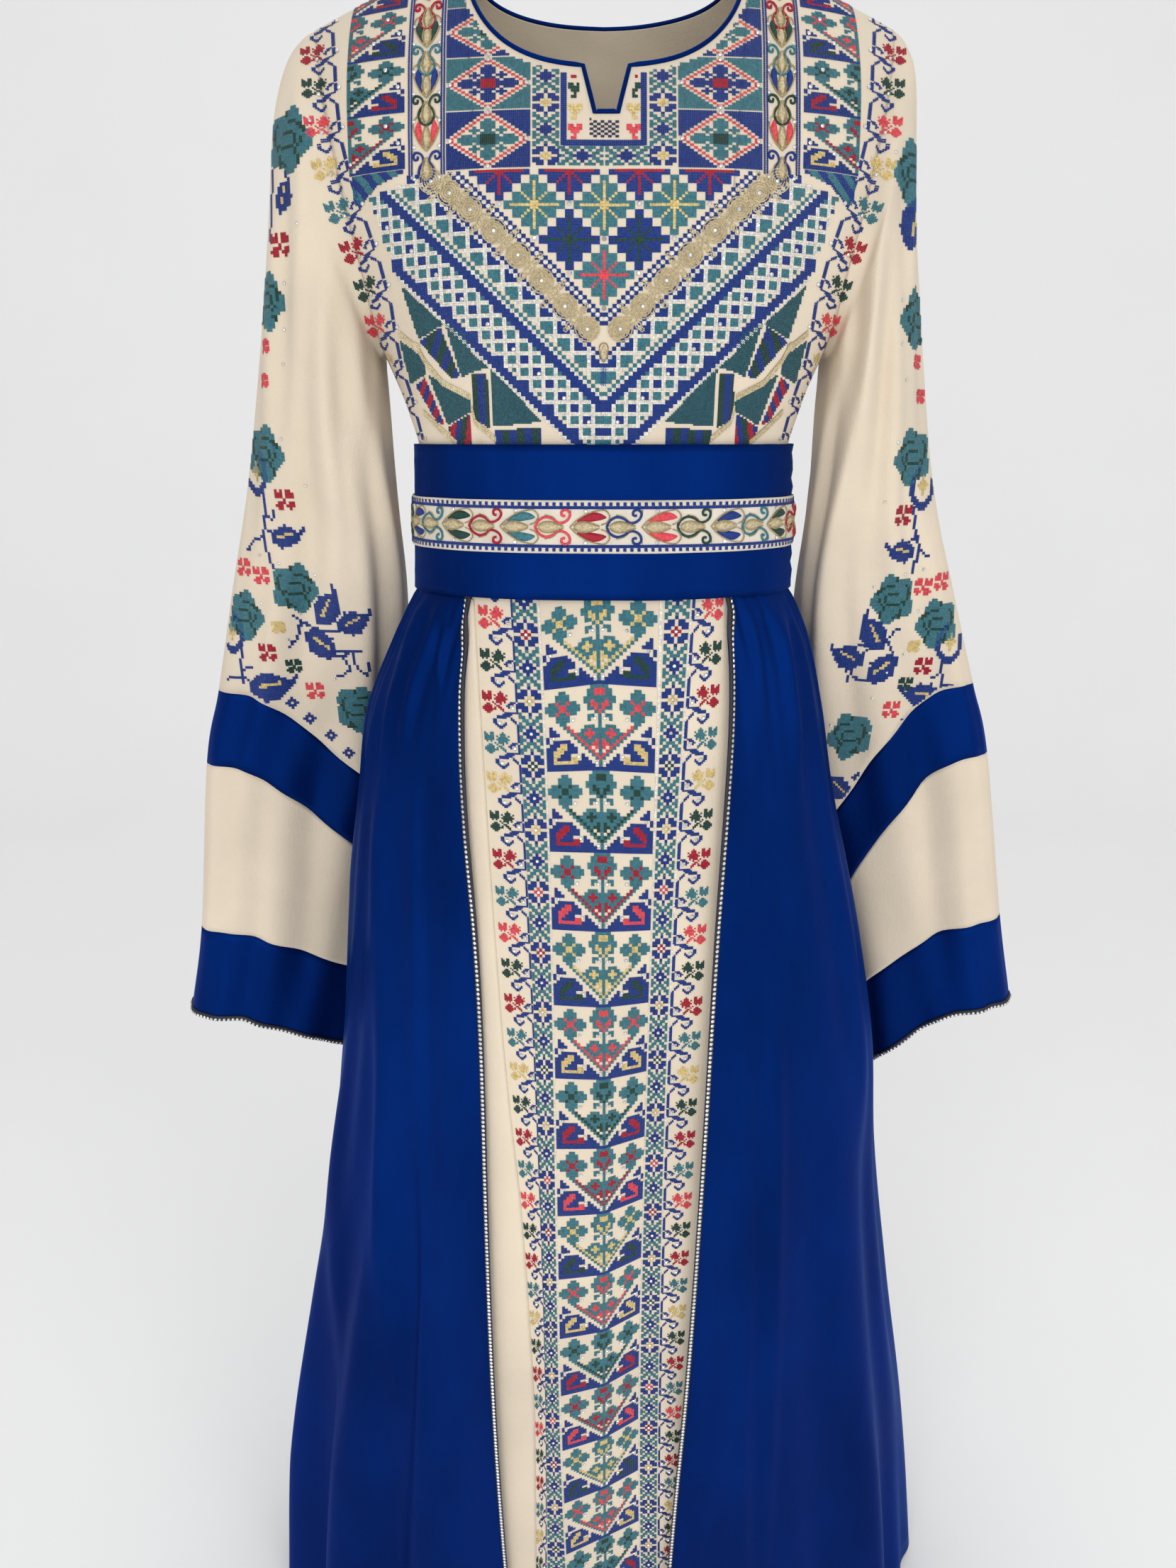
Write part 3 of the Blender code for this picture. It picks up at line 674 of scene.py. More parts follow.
def bodice_net(column):
    rise = 1 - (1 - np.linspace(0, 1, 96)) ** 1.5
    levels = WAIST + (SHOULDER_END - WAIST) * rise
    round_part = NECK_HALF - (NECK_HALF - NOTCH_TOP_HALF) * (1 - np.linspace(0, 1, 26)[1:]) ** 1.4
    half = np.concatenate((np.linspace(0, NOTCH_FOOT_HALF, 4), np.linspace(NOTCH_FOOT_HALF, NOTCH_TOP_HALF, 4)[1:],
                           round_part, np.linspace(NECK_HALF, SHOULDER_HALF, 30)[1:]))
    tops = np.concatenate((-half[:0:-1], half))
    facing = -1 if column == "front" else 1
    net = bodice_point(tops[None, ::-facing], levels[:, None], column)
    x, z = net[..., 0], net[..., 2]
    low = smooth_step((-0.235 - z) / 0.05)
    for middle in (-0.083, 0.083):
        net[..., 1] -= facing * 0.0014 * np.exp(-(((x - middle) / 0.0035) ** 2)) * low
    crumple = np.sin(x * 61 + 9 * np.sin(z * 23)) * np.sin(z * 47 + 2 * np.sin(x * 31))
    net[..., 1] += facing * 0.0006 * crumple * np.clip((0.16 - abs(x)) / 0.06, 0, 1)
    return net


def sleeve_net(side, first, last, rows, columns=104):
    row = np.linspace(last, first, rows)[:, None]
    share = np.arange(columns)[None] / columns
    net = sleeve_point(side, row, share)
    deep = 0.0034 * np.minimum(row / 5, 1) * abs(np.sin(2 * math.pi * share))
    wave = np.sin(2 * math.pi * (7 * share + 0.11 * row) + side)
    wave = wave + 0.6 * np.sin(2 * math.pi * (13 * share - 0.17 * row))
    away = net - net.mean(axis=1, keepdims=True)
    away[..., 2] = 0
    return (net + unit(away) * (deep * wave)[..., None])[:, ::side]


def skirt_heights(foot, count):
    share = np.linspace(0, 1, count) ** 0.8
    return (foot + (WAIST - foot) * share)[:, None]


# The ridges of the satin in front: how high and wide each is, and where it runs, from the top down.
CREASES = (
    (42, 42, "-1110 4020, -1195 4340, -1300 4600, -1470 5300"),
    (45, 55, "-1225 4020, -1350 4340, -1500 4800, -1640 5600"),
    (30, 25, "-1020 4020, -1075 4200, -1120 4500, -1160 4900"),
    (40, 70, "-1350 5000, -1430 7660, -1520 10000, -1760 14000"),
    (50, 80, "-1620 5000, -1700 7660, -1800 10000, -2040 14000"),
    (45, 80, "-1950 5600, -2180 8000, -2330 10000, -2480 13000"),
    (34, 60, "990 4020, 1040 4475, 1120 5300"),
    (40, 60, "1210 4020, 1280 4500, 1420 5600"),
    (34, 80, "1500 5000, 1793 6128, 2130 7917, 2330 9500"),
    (40, 80, "1020 6800, 1180 10000, 1280 12830, 1300 14300"),
    (50, 90, "1250 6800, 1400 10000, 1530 12830, 1560 14300"))


def gathers(angle, z):
    """How far the satin stands out over the fine gathers under the belt, its creases and its soft waves."""
    near = np.exp(-np.clip(BELT_FOOT - z, 0, 1) / 0.055)
    fine = 0.5 + 0.5 * np.sin(angle * 47 + 3 * np.sin(angle * 9))
    broad = 0.5 + 0.5 * np.sin(angle * 19 + 2 * np.sin(z * 5) + 1.5 * np.sin(angle * 5))
    out = 0.0030 * near * fine + 0.0030 * (1 - near) * broad
    x = oval(angle, skirt_half(angle, z) + stand(z), 0, 0)[0]
    for high, wide, path in CREASES:
        ridge, level = np.transpose(places(path))
        away = (x - np.interp(-z, -level, ridge)) / (wide / TENTHS)
        share = np.clip((level[0] - z) / (level[0] - level[-1]), 0, 1)
        grown = smooth_step(share / 0.12) * smooth_step((1 - share) / 0.45)
        out = out + high / TENTHS * grown * np.exp(-(away**2)) * (np.cos(angle) > 0)
    return smooth_step((BELT_FOOT - z) / 0.010) * out


def satin_point(angle, z):
    return skirt_point(angle, z, stand(z) + gathers(angle, z))


def half_net(half, foot, rows, columns, on_top):
    z = skirt_heights(foot, rows)
    reach = seam_angle(z, half, stand(z) if on_top else 0.0)
    middle = 0 if half == "front" else math.pi
    angle = wrap(middle - reach + 2 * reach * np.linspace(0, 1, columns)[None])
    return satin_point(angle, z) if on_top else skirt_point(angle, z)


def overskirt_net(side, rows=140, columns=120):
    z = skirt_heights(HEM, rows)
    start, end = front_edge(z, side), side * seam_angle(z, "front", stand(z))
    return satin_point(start + (end - start) * np.linspace(0, 1, columns)[None], z)[:, ::side]


def belt_point(turn, z, out=0.0):
    crease = 0.0007 * np.sin(z * 420 + 3 * np.sin(turn * 3)) * np.sin(turn * 5 + 1)
    return band_point(turn, z, out + crease)


def belt_net(low, high, rows, out):
    turn = np.linspace(-math.pi, math.pi, 241)[None, :-1]
    return belt_point(turn, np.linspace(low, high, rows)[:, None], out)


# The parts of a sleeve: between which of its rows each lies, and how many rows its net has.
SLEEVE_PARTS = (("upper", 0, 9, 84), ("band", 9, 10, 16), ("panel", 10, 11, 26), ("cuff", 11, 12, 16))
# Each cloth's net and whether it is closed.
NETS = {
    "bodice_front": (bodice_net("front"), False),
    "bodice_back": (bodice_net("back"), False),
    "underskirt_front": (half_net("front", UNDER_HEM, 110, 110, False), False),
    "underskirt_back": (half_net("back", UNDER_HEM, 70, 90, False), False),
    "overskirt_left": (overskirt_net(-1), False),
    "overskirt_right": (overskirt_net(1), False),
    "overskirt_back": (half_net("back", HEM, 110, 130, True), False),
    "belt": (belt_net(BELT_FOOT, BELT_TOP, 18, 0.0), True),
    "ribbon": (belt_net(RIBBON_FOOT, RIBBON_TOP, 12, RIBBON_OUT), True),
}
Cloth = namedtuple("Cloth", "name slot flat area held rests nodes wall", defaults=("", None, 0.0012))
CLOTHS = [
    Cloth("bodice_front", "ivory_crepe", (0.44, 0.40), 0.115, "hung"),
    Cloth("bodice_back", "ivory_crepe", (0.44, 0.40), 0.125, "hung"),
    Cloth("underskirt_front", "ivory_crepe", (0.86, 1.08), 0.62, "hung", "bodice_front"),
    Cloth("underskirt_back", "ivory_crepe", (0.95, 1.08), 0.66, "hung", "bodice_back"),
    Cloth("overskirt_left", "blue_satin", (0.45, 1.08), 0.30, "gathered", "belt"),
    Cloth("overskirt_right", "blue_satin", (0.45, 1.08), 0.30, "gathered", "belt"),
    Cloth("overskirt_back", "blue_satin", (1.0, 1.08), 0.68, "gathered", "belt"),
    Cloth("belt", "blue_satin", (0.80, 0.102), None, "stretched", wall=0.0020),
    Cloth("ribbon", "woven_ribbon", (0.80, 0.035), None, "stretched", "belt", ("belt_ribbon",), 0.0010),
]
for side, word in SIDES.items():
    for part, first, last, rows in SLEEVE_PARTS:
        NETS[f"sleeve_{word}_{part}"] = (sleeve_net(side, first, last, rows), True)
    solids = tuple(f"sleeve_{word}_{part}" for part in ("shoulder", "arm", "elbow"))
    CLOTHS += [
        Cloth(f"sleeve_{word}_upper", "ivory_crepe", (0.46, 0.56), 0.17, "hung", "bodice_front", solids),
        Cloth(f"sleeve_{word}_band", "blue_satin", (0.42, 0.070), None, "hung", f"sleeve_{word}_upper"),
        Cloth(f"sleeve_{word}_panel", "ivory_crepe", (0.46, 0.125), None, "hung", f"sleeve_{word}_band"),
        Cloth(f"sleeve_{word}_cuff", "blue_satin", (0.50, 0.080), None, "hung", f"sleeve_{word}_panel"),
    ]
pieces = {}
for cloth in CLOTHS:
    net, closed = NETS[cloth.name]
    pieces[cloth.name] = place_net(f"{cloth.name}_cloth", net, cloth.slot, closed)
    thicken(pieces[cloth.name], cloth.wall)
    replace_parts(pieces[cloth.name], *(cloth.nodes or (cloth.name,)))


# ---------------------------------------------------------------- the charts

THREAD_OF = {"B": "blue", "T": "teal"}
# Half of the skirt's motif, its middle column last; a is the accent and g the paisley's colour.
MOTIF = """
    .............TTT ....TT......TTaa ...TTTT.....TTaa ...TTTT....TTTTT .TTaTTaTT..TTaTT TTTTaaTTTT..TaaT
    TTTTaaTTTT..TTaT .TTaTTaTT.....Ta ...TTTT.....TT.T ...TTTT.....T..T ....TT.........T .B...Ta....TTT.T
    .BB...Ta..TTaTTT .BBB...TaTTaaaTT B.......TaTTaTTT B.BBBBB..TaTTTaT .BBBggBB..TaTaaT BBBgggBBB..Ta.aT
    BBgggBBBB...Ta.T BBggBBB...B..TaT BBgBBBBgg.BB..Ta BBgggggggBBBB..T BBBBBBBBBBBBBB.T BBBBBBBBBBBBBBBB
""".split()
MOTIF_COLOURS = (("ochre", "green"), ("coral", "ochre"), ("green", "red"), ("red", "coral"))
# The narrow border, one repeat of 20 rows; o is the cross's thread.
BORDER = """
    ..ooo.. BB.o.BB BBB.BBB .BB.BB. T..B..T TT.T.TT .TT.TT. T.TTT.T TT.B.TT T.BBB.T .BBBBB. T.BBB.T TT.B.TT T.TTT.T
    .TT.TT. TT.T.TT T..B..T .BB.BB. BBB.BBB BB.o.BB
""".split()
CROSS_COLOURS = ("ochre", "green", "ochre", "coral", "red")
# The scroll and its flowers, one repeat of 24 rows; F is the flower.
SCROLL = """
    F..FF....F.......BB FF.FF...FFF......BB FFFFF.F.FFF.F....BB FFFFF..FFFFF.....BB FFFFF.FFFFFFF....BB
    .F.F...FFFFF.....BB .....F.FFF.F..BBB.. ..FF..F..F...BBB.BB .FFFF..FF...BB...BB FFFFF.F.FF...B...BB
    FFFFFFF..FF......BB .FFFF.....F......BB ..FF.......BBBBBBB. ..........BBBBB.... .......BBBBBBB.....
    .......BBBBB..B.... .....BB.......BB... .....BB........BB.. .....BB....B....B.. ......BB..BB.....B.
    .......BBBB......BB ........BB.......BB .................BB .................BB
""".split()
SCROLL_COLOURS = ("coral", "green", "red", "teal", "ochre", "green", "red", "teal")
# The small motif beside the notch, and the sleeves' petals and stars.
SPRIG = "XX.XX XXXXX .XXX. ..X.. .XX..".split()
PETALS = ".FF.F.F FFF.FFF FFF.FFF ...F... FF.FFF. FFF.FFF .F..FF.".split()
STAR = "..B.. .BBB. BB.BB .BBB. ..B..".split()
# Half of a leaf, its rim and a curl, about the middle of a ribbon motif that is a unit long.
LOBE = ((-0.32, 0.15), (-0.08, 0.235), (0.20, 0.285), (0.48, 0.260))
RIM = ((-0.52, 0.0), (-0.34, 0.18), (-0.08, 0.34), (0.22, 0.44), (0.46, 0.45), (0.58, 0.30), (0.50, 0.13),
       (0.34, 0.06))
HOOK = ((-0.50, 0.0), (-0.42, 0.16), (-0.22, 0.27), (0.0, 0.22), (0.16, 0.11), (0.30, 0.13), (0.44, 0.24),
        (0.47, 0.38), (0.36, 0.47), (0.24, 0.42), (0.25, 0.31), (0.34, 0.31))
FILL_CELL = (0.00122, 0.00118)


def marks(chart):
    """The sewn cells of a chart: row, column and mark."""
    return [(row, column, mark) for row, line in enumerate(chart) for column, mark in enumerate(line) if mark != "."]


def put(cells, thread, x, z):
    cells.setdefault(thread, []).append((x, z))


def sew(work, cells, across, up, split=2):
    """Cross-stitches over cells, which are lists of middles by thread, each split so many times both ways."""
    for thread, centres in cells.items():
        shares = (np.arange(split) + 0.5) / split - 0.5
        parts = [np.array(centres, float) + np.array((i * across, j * up)) for i in shares for j in shares]
        work.stitches(np.vstack(parts), (across / split * 0.50, 0), (0, up / split * 0.50), thread)


def motif_cells(where, accent, paisley, columns=range(-15, 16)):
    """The skirt's motif as cells; where(column, row) is the middle of a cell, row 0 at the foot."""
    cells, threads = {}, dict(THREAD_OF, a=accent, g=paisley)
    for row in range(24):
        for column in columns:
            mark = MOTIF[23 - row][15 - abs(column)]
            if mark != ".":
                put(cells, threads[mark], *where(column, row))
    return cells


def inside(polygon, x, z):
    """Whether places are in a polygon."""
    within = np.zeros(np.shape(x), bool)
    for (x0, z0), (x1, z1) in zip(polygon, polygon[1:] + polygon[:1]):
        if z0 != z1:
            within ^= ((z0 > z) != (z1 > z)) & (x < (x1 - x0) * (z - z0) / (z1 - z0) + x0)
    return within


def fill(work, polygon, threads, lean=0.0, width=1.0):
    """Fills a polygon with stitches, striped in these threads; lean is how far a stripe slants a metre down."""
    wide, high = FILL_CELL
    xs, zs = np.array(polygon).T
    x, z = np.meshgrid(np.arange(xs.min(), xs.max(), wide), np.arange(zs.min(), zs.max(), high))
    good = inside(polygon, x, z)
    x, z = x[good], z[good]
    stripe = np.floor((x - xs.min() + lean * (z - zs.min())) / width).astype(int) % len(threads)
    for i, thread in enumerate(threads):
        work.stitches(np.stack((x, z), 1)[stripe == i], (wide * 0.50, 0), (0, high * 0.50), thread)


def turned(points, angle, centre, size):
    points = np.asarray(points, float) * size
    c, s = math.cos(angle), math.sin(angle)
    return np.stack((points[:, 0] * c - points[:, 1] * s, points[:, 0] * s + points[:, 1] * c), 1) + centre


def eased(points, count):
    """A smooth path through points."""
    points = np.asarray(points, float)
    gone = length_along(points)
    at = np.linspace(0, gone[-1], count)
    return np.stack([smooth(gone, column, at) for column in points.T], 1)


def flourish(work, kind, centre, angle, size, thread):
    """A ribbon motif, leaves or curls, whose point is at the back of its angle; its middle is gold."""
    def laid(points):
        return turned(points, angle, centre, size)

    for hand in (-1, 1):
        flip = (1, hand)
        if kind == "leaves":
            t = np.linspace(0, 1, 12)
            widths = size * (0.02 + 0.102 * np.sin(math.pi * t**1.2) ** 0.8)
            work.strip(laid(eased(np.multiply(LOBE, flip), 12)), widths, thread, 0.0013)
            work.beads(laid(eased(np.multiply(RIM, flip), 30)), LEAF_CORD)
        else:
            work.strip(laid(eased(np.multiply(HOOK, flip), 34)), size * 0.030 + 0.0002, thread, 0.0011)
            work.beads(laid(eased(np.multiply(HOOK[2:8], (1.05, hand * 1.22)), 14)), CURL_CORD)
    t = np.linspace(0, 1, 11)
    along, swell = -0.42 + 0.72 * t, 0.125 * np.sin(math.pi * t**0.75)
    work.strip(laid(np.stack((along, t * 0), 1)), size * (0.01 + swell), "pale", 0.0013)
    for hand in (-1, 1):
        work.beads(laid(np.stack((along, 0.03 + swell), 1) * (1, hand)), HEART_CORD)


def drop(work, centre, size=0.0100, angle=-math.pi / 2, fat=0.34):
    """A gold teardrop: a padded middle in a beaded outline."""
    t = np.linspace(0, 1, 9)
    widths = size * fat * 0.75 * np.sin(math.pi * (1 - t) ** 0.62) ** 0.9
    work.strip(turned(np.stack((t - 0.5, t * 0), 1), angle, centre, size), widths, "pale", 0.0012)
    turn = np.linspace(0, 2 * math.pi, 33)
    rim = np.stack((-0.56 * np.cos(turn), fat * 1.15 * np.sin(turn) * (0.62 + 0.38 * np.cos(turn))), 1)
    work.beads(turned(rim, angle, centre, size), DROP_CORD)


def disc(work, centre, radius):
    """A thin round patch of thread, under the cords."""
    t = np.linspace(-0.98, 0.98, 13)
    work.strip(centre + np.stack((t * radius, t * 0), 1), 0.94 * radius * np.sqrt(1 - t**2), "cream", 0.0003)


def rosette(work, centre, radius=0.0073):
    """A gold rosette: rings of couched cord round a stone."""
    disc(work, centre, radius)
    for share, pitch in ((1.0, 0.0012), (0.76, 0.0011), (0.54, 0.0010), (0.33, 0.0010)):
        work.beads(circle(49, 0.94) * radius * share + centre, ROSETTE_CORD._replace(pitch=pitch))
    work.stones([centre], MEDIUM)


# ---------------------------------------------------------------- the skirt's panel

# The chart's lines, by how far they are from the panel's middle where it is flat, and where they run in x as
# cubics of the height over -0.4: the cloth turns away at the sides and leans towards the foot.
LINES = (
    (-0.087, (0.11123, 0.10637, -0.02484, -0.08801)), (-0.0605, (0.01353, -0.01925, -0.04252, -0.06253)),
    (-0.0576, (-0.01179, -0.05067, -0.05284, -0.06313)), (-0.0413, (-0.06612, -0.09788, -0.05129, -0.04631)),
    (-0.03875, (-0.05102, -0.07647, -0.04285, -0.04361)), (0.0, (-0.03646, -0.05767, -0.03409, -0.00533)),
    (0.03875, (-0.04714, -0.04179, -0.0001, 0.03602)), (0.0413, (-0.01923, 0.0045, 0.02331, 0.04112)),
    (0.0576, (0.02579, 0.07477, 0.05431, 0.05864)), (0.0605, (0.0107, 0.05546, 0.04929, 0.06095)),
    (0.087, (-0.01986, -0.00084, 0.02822, 0.08291)))
# How high each repeat of a strip stands, as cubics of its number, at the left, middle and right.
REPEATS = {
    "block": ((1.9e-05, -0.000629, -0.0567267, -0.4657498), (-1.4e-06, 5.01e-05, -0.0607411, -0.4607554),
              (-4.13e-05, 0.0007354, -0.0611869, -0.4635995)),
    "border": ((8e-07, -0.00024, -0.0456346, -0.4747696), None, (-9.4e-06, 0.0001816, -0.0464877, -0.4737838)),
    "scroll": ((-4.4e-06, 0.0001018, -0.0290181, -0.4181468), None, (-1.4e-06, 9.63e-05, -0.0301005, -0.4120006))}
# How many repeats of a strip there are to a block's, and how far ahead its first one starts.
BORDER_RATE, BORDER_LAG = 1.3, 1.6
SCROLL_RATE, SCROLL_LAG = 2.05, 2.6
BLOCK_HALF = 0.03875
BLOCK_CELL, BORDER_CELL, SCROLL_CELL = 0.0025, 0.00233, 0.0014
BORDER_INNER, SCROLL_INNER = 0.0413, 0.0592
PANEL_TOP, PANEL_FOOT, PANEL_SPARE = -0.4035, -1.4145, 0.006
BLOCK_STONES = ((0.0034, 0.61), (0.0190, 0.61), (0.0333, 0.40), (0.0157, 0.175), (0.0028, 0.087))


class Laid:
    """A field on which x is across the panel and z counts a strip's repeats downward."""

    def __init__(self, field, strip):
        self.field, self.facing, self.strip = field, field.facing, REPEATS[strip]

    def place(self, spots):
        spots = np.asarray(spots, float)
        u, count = spots[..., 0], -spots[..., 1]
        left, middle, right = self.strip
        z = np.where(u < 0, np.polyval(left, count), np.polyval(right, count))
        if middle is not None:
            mid = np.polyval(middle, count)
            z = mid + (z - mid) * np.clip(abs(u) / BLOCK_HALF, 0, 1)
        knots = [line[0] for line in LINES]
        xs = np.stack([np.polyval(line[1], z + 0.4) for line in LINES], -1)
        i = np.clip(np.searchsorted(knots, u) - 1, 0, len(LINES) - 2)
        start, end = np.take(knots, i), np.take(knots, i + 1)
        first, second = (np.take_along_axis(xs, at[..., None], -1)[..., 0] for at in (i, i + 1))
        return np.stack((first + (second - first) * (u - start) / (end - start), z), -1)

    def at(self, spots, lift):
        return self.field.at(self.place(spots), lift)


def uncovered(points):
    """Which places of the panel the overskirt leaves in sight, or nearly."""
    x, z = points[:, 0], points[:, 2]
    return ((x > -curve(FRONT_EDGES, "left", z) - PANEL_SPARE) & (x < curve(FRONT_EDGES, "right", z) + PANEL_SPARE)
            & (z < PANEL_TOP) & (z > PANEL_FOOT))


def sew_panel(work, first, last):
    """The blocks, borders and scrolls of the repeats from first to last, a block's repeats."""
    field, stones = work.field, []

    def sew_strip(strip, chart, rate, lag, start, colours, where, cell, split, gems):
        """Both strips of a kind; where is how far out a column is, and gems which rows have a stone, and where."""
        cells, rows, spots = {}, len(chart), []
        for n in range(int(first * rate) - 3, int(last * rate) + 1):
            for row, line in enumerate(chart):
                count = n + (row - start) / rows
                if first <= (count + lag) / rate < last:
                    for _, column, mark in marks([line]):
                        for side in SIDES:
                            thread = THREAD_OF.get(mark, colours[round(count) % len(colours)])
                            put(cells, thread, side * where(column), -count)
                    spots += [(side * u, -count) for at, u in gems if at == row for side in SIDES]
        work.field = Laid(field, strip)
        sew(work, cells, cell, 1 / rows, split)
        stones.extend(tuple(spot) for spot in work.field.place(spots))

    for k in range(first, last):
        work.field = Laid(field, "block")
        colours = MOTIF_COLOURS[k % len(MOTIF_COLOURS)]
        sew(work, motif_cells(lambda c, r: (c * BLOCK_CELL, -k + (r + 0.5) / 24), *colours), BLOCK_CELL, 1 / 24)
        spots = work.field.place([(s * u, -k + v) for s in SIDES for u, v in BLOCK_STONES])
        work.field = field
        work.stones(spots, SMALL)
    sew_strip("border", BORDER, BORDER_RATE, BORDER_LAG, 0.5, CROSS_COLOURS,
              lambda column: BORDER_INNER + (column + 0.5) * BORDER_CELL, BORDER_CELL, 2, ((0, 0.0494), (10, 0.0494)))
    sew_strip("scroll", SCROLL, SCROLL_RATE, SCROLL_LAG, 6.5, SCROLL_COLOURS,
              lambda column: SCROLL_INNER + (18.5 - column) * SCROLL_CELL, SCROLL_CELL, 1,
              ((9, SCROLL_INNER + 0.0049), (18, SCROLL_INNER + 0.0148)))
    work.field = Laid(field, "border")
    count = np.linspace(*(at * BORDER_RATE - BORDER_LAG for at in (first, last)), 600)
    for side in SIDES:
        for u in (0.0400, 0.0590):
            line = np.stack((count * 0 + side * u, -count), 1)
            work.stitches(line, (0.0006, 0), (0, 0.012), "white", 0.0004)
    work.field = field
    work.stones(stones, MEDIUM)


def make_panel():
    for word, first, last, top, foot in (("upper", 0, 7, -0.40, -0.93), ("lower", 7, 17, -0.70, -1.42)):
        field = Field([NETS["underskirt_front"]], (-0.100, 0.096), (foot - 0.004, top + 0.004))
        work = Work(field, uncovered)
        sew_panel(work, first, last)
        work.build(f"panel_stitches_{word}", "ivory_crepe")


# ---------------------------------------------------------------- the bodice

# The x of the bodice's middle line, and the cell of its star lattice.
MIDDLE = -0.0012
WIDE, HIGH = 0.00175, 0.00161
CHEST_TOP = -0.1465
RIBBON_MIDDLE = 0.1079
RIBBON_MOTIFS = (
    (-0.0330, "leaves", "teal"), (-0.0527, "curls", "red"), (-0.0636, "leaves", "green"), (-0.0805, "curls", "teal"),
    (-0.0933, "leaves", "blue"), (-0.1097, "curls", "green"), (-0.1242, "leaves", "coral"), (-0.1424, "curls", "blue"))
# The blocks over the chest: the heights of their feet and tops, their ground, ring and heart.
BLOCKS = (
    (-0.1454, -0.1121, "blue", "teal", "green"), (-0.1112, -0.0809, "teal", "blue", "red"),
    (-0.0800, -0.0500, "blue", "teal", "green"), (-0.0492, -0.0195, "teal", "blue", "red"))
BLOCK_MIDDLE, CHEST_CELL = 0.0699, 0.00233
CHEST_BORDER_CELL = (0.0023, 0.00155)
SPRIGS = ((-0.0893, "red"), (-0.1010, "green"), (-0.1133, "ochre"), (-0.1250, "coral"))
SPRIG_CELL = (0.0017, 0.0018)
HALF_MOTIFS = ((-0.0445, "coral", "red"), (-0.0772, "coral", "green"), (-0.1100, "green", "red"),
               (-0.1425, "red", "ochre"))
HALF_MOTIF_CELL = (0.0024, 0.00136)
ARM_PATH = np.array(places("""
    1790 300, 1770 500, 1730 747, 1712 967, 1688 1209, 1630 1446, 1545 1690, 1462 1940, 1408 2180, 1400 2370, 1380
    2560, 1330 2740, 1270 3040"""))
ARM_COLOURS = "teal red green coral ochre teal red green coral ochre green red teal".split()
ARM_CELL = (0.00129, 0.000975)
ROSETTES = places("""
    1052 1510, 937 1585, 810 1684, 664 1809, 520 1945, 380 2086, 239 2227, 102 2355""")
# The patches in the corners: outline, threads, how their stripes lean and how wide these are.
PATCHES = (
    ("1286 2075, 1010 2312, 1192 2391", "deep", 0.0, 1.0),
    ("1189 2404, 1036 2326, 925 2620, 983 2636", "blue green", 0.45, 0.0052),
    ("1005 2303, 866 2370, 838 2485, 727 2570, 850 2600, 912 2630", "deep", 0, 1.0),
    ("840 2606, 743 2607, 735 2943, 852 2877", "green blue", 0.0, 0.0048),
    ("723 2587, 700 2588, 393 2900, 711 2930", "deep", 0.0, 1.0),
    ("712 2952, 398 2935, 400 3050, 700 3050", "blue green", 0.0, 0.005),
    ("1340 2385, 1168 2501, 1160 2600, 1290 2655", "deep", 0.0, 1.0),
    ("1148 2600, 860 2770, 860 2835, 1030 2920", "deep", 0.0, 1.0),
    ("1250 2665, 1172 2621, 1052 2920, 1110 2900", "red blue", 0.5, 0.004),
    ("1033 2933, 866 2846, 870 3050, 990 3050", "red blue green", 0.2, 0.0038))
GOLD_CORDS = (
    "1337 2343, 1203 2445, 1160 2523, 1045 2656, 862 2746",
    "855 2810, 835 2900, 700 3010",
    "1210 2830, 1090 2940, 973 3033",
    "1225 2420, 1190 2440",)


def block_thread(column, row, ground, ring, heart):
    """The thread of a cell of a chest block, by how far it is from the middle."""
    dx, dy = abs(column), abs(row)
    near, far = min(dx, dy), max(dx, dy)
    if dx + dy > 11.5:
        return ground
    if dx + dy > 8.5:
        return "coral" if dx + dy == 10 else None
    if far < 2:
        return heart
    if far == 2.5:
        return ring if near < 2 else None
    if (near < 2 and 4 < far < 7) or (near < 1 and 3 < far < 8):
        return ring
    return ring if abs(dx - 3.5) + abs(dy - 3.5) <= 1 and near > 2 else None


def star_thread(column, row):
    """The thread of a cell of the star lattice: rows run down from the chest's line, columns from the middle."""
    for at_row, at_columns, ground, star in (
        (0, (-36, -12, 12, 36), "blue", "red"), (12, (-24, 0, 24), "teal", "ochre"),
        (24, (-12, 12), "blue", "green"), (36, (0,), "teal", "coral")):
        for at_column in at_columns:
            dx, dy = abs(column - at_column), abs(row - at_row)
            if round(dx / 3) + round(dy / 3) <= 3:
                return star if (min(dx, dy) == 0 and max(dx, dy) <= 8) or dx == dy <= 4 else ground
    return None


def band_thread(column, row):
    """The thread of a cell of the V bands: columns from the middle, rows down from the chest's line."""
    line = row + column
    if line in (33, 35, 43) or 54 <= line <= 56 or 69 <= line <= 71:
        return "blue"
    if line in (44, 53, 72):
        return "white"
    # White bars a cell wide cut the next band into blocks of three cells.
    across, down = (34 - column) % 4, (13 - row) % 4
    barred = across == 3 or down == 3
    if 45 <= line <= 50:
        return "white" if barred else "blue" if line + across + down == 47 else "teal"
    if line == 52 or (line == 51 and not barred and column % 2):
        return "teal"
    if 57 <= line <= 68:
        # Squares of two cells, a cell apart, on three lines; every second one at the ends joins a blue line.
        across, down = column % 3, (row - 1) % 3
        base = line - across - down
        if across == 2 or down == 2:
            return "white"
        if base in (55, 67) and column // 3 % 2:
            return "teal" if across == down and (across + down == 2) == (base == 55) else None
        return {55: "blue", 58: "teal", 61: "blue", 64: "teal", 67: "blue"}.get(base)
    return None


def patch(work, at, outline, threads="blue", lean=0.0, width=1.0):
    fill(work, [at(u, z) for u, z in places(outline)], threads.split(), lean, width)


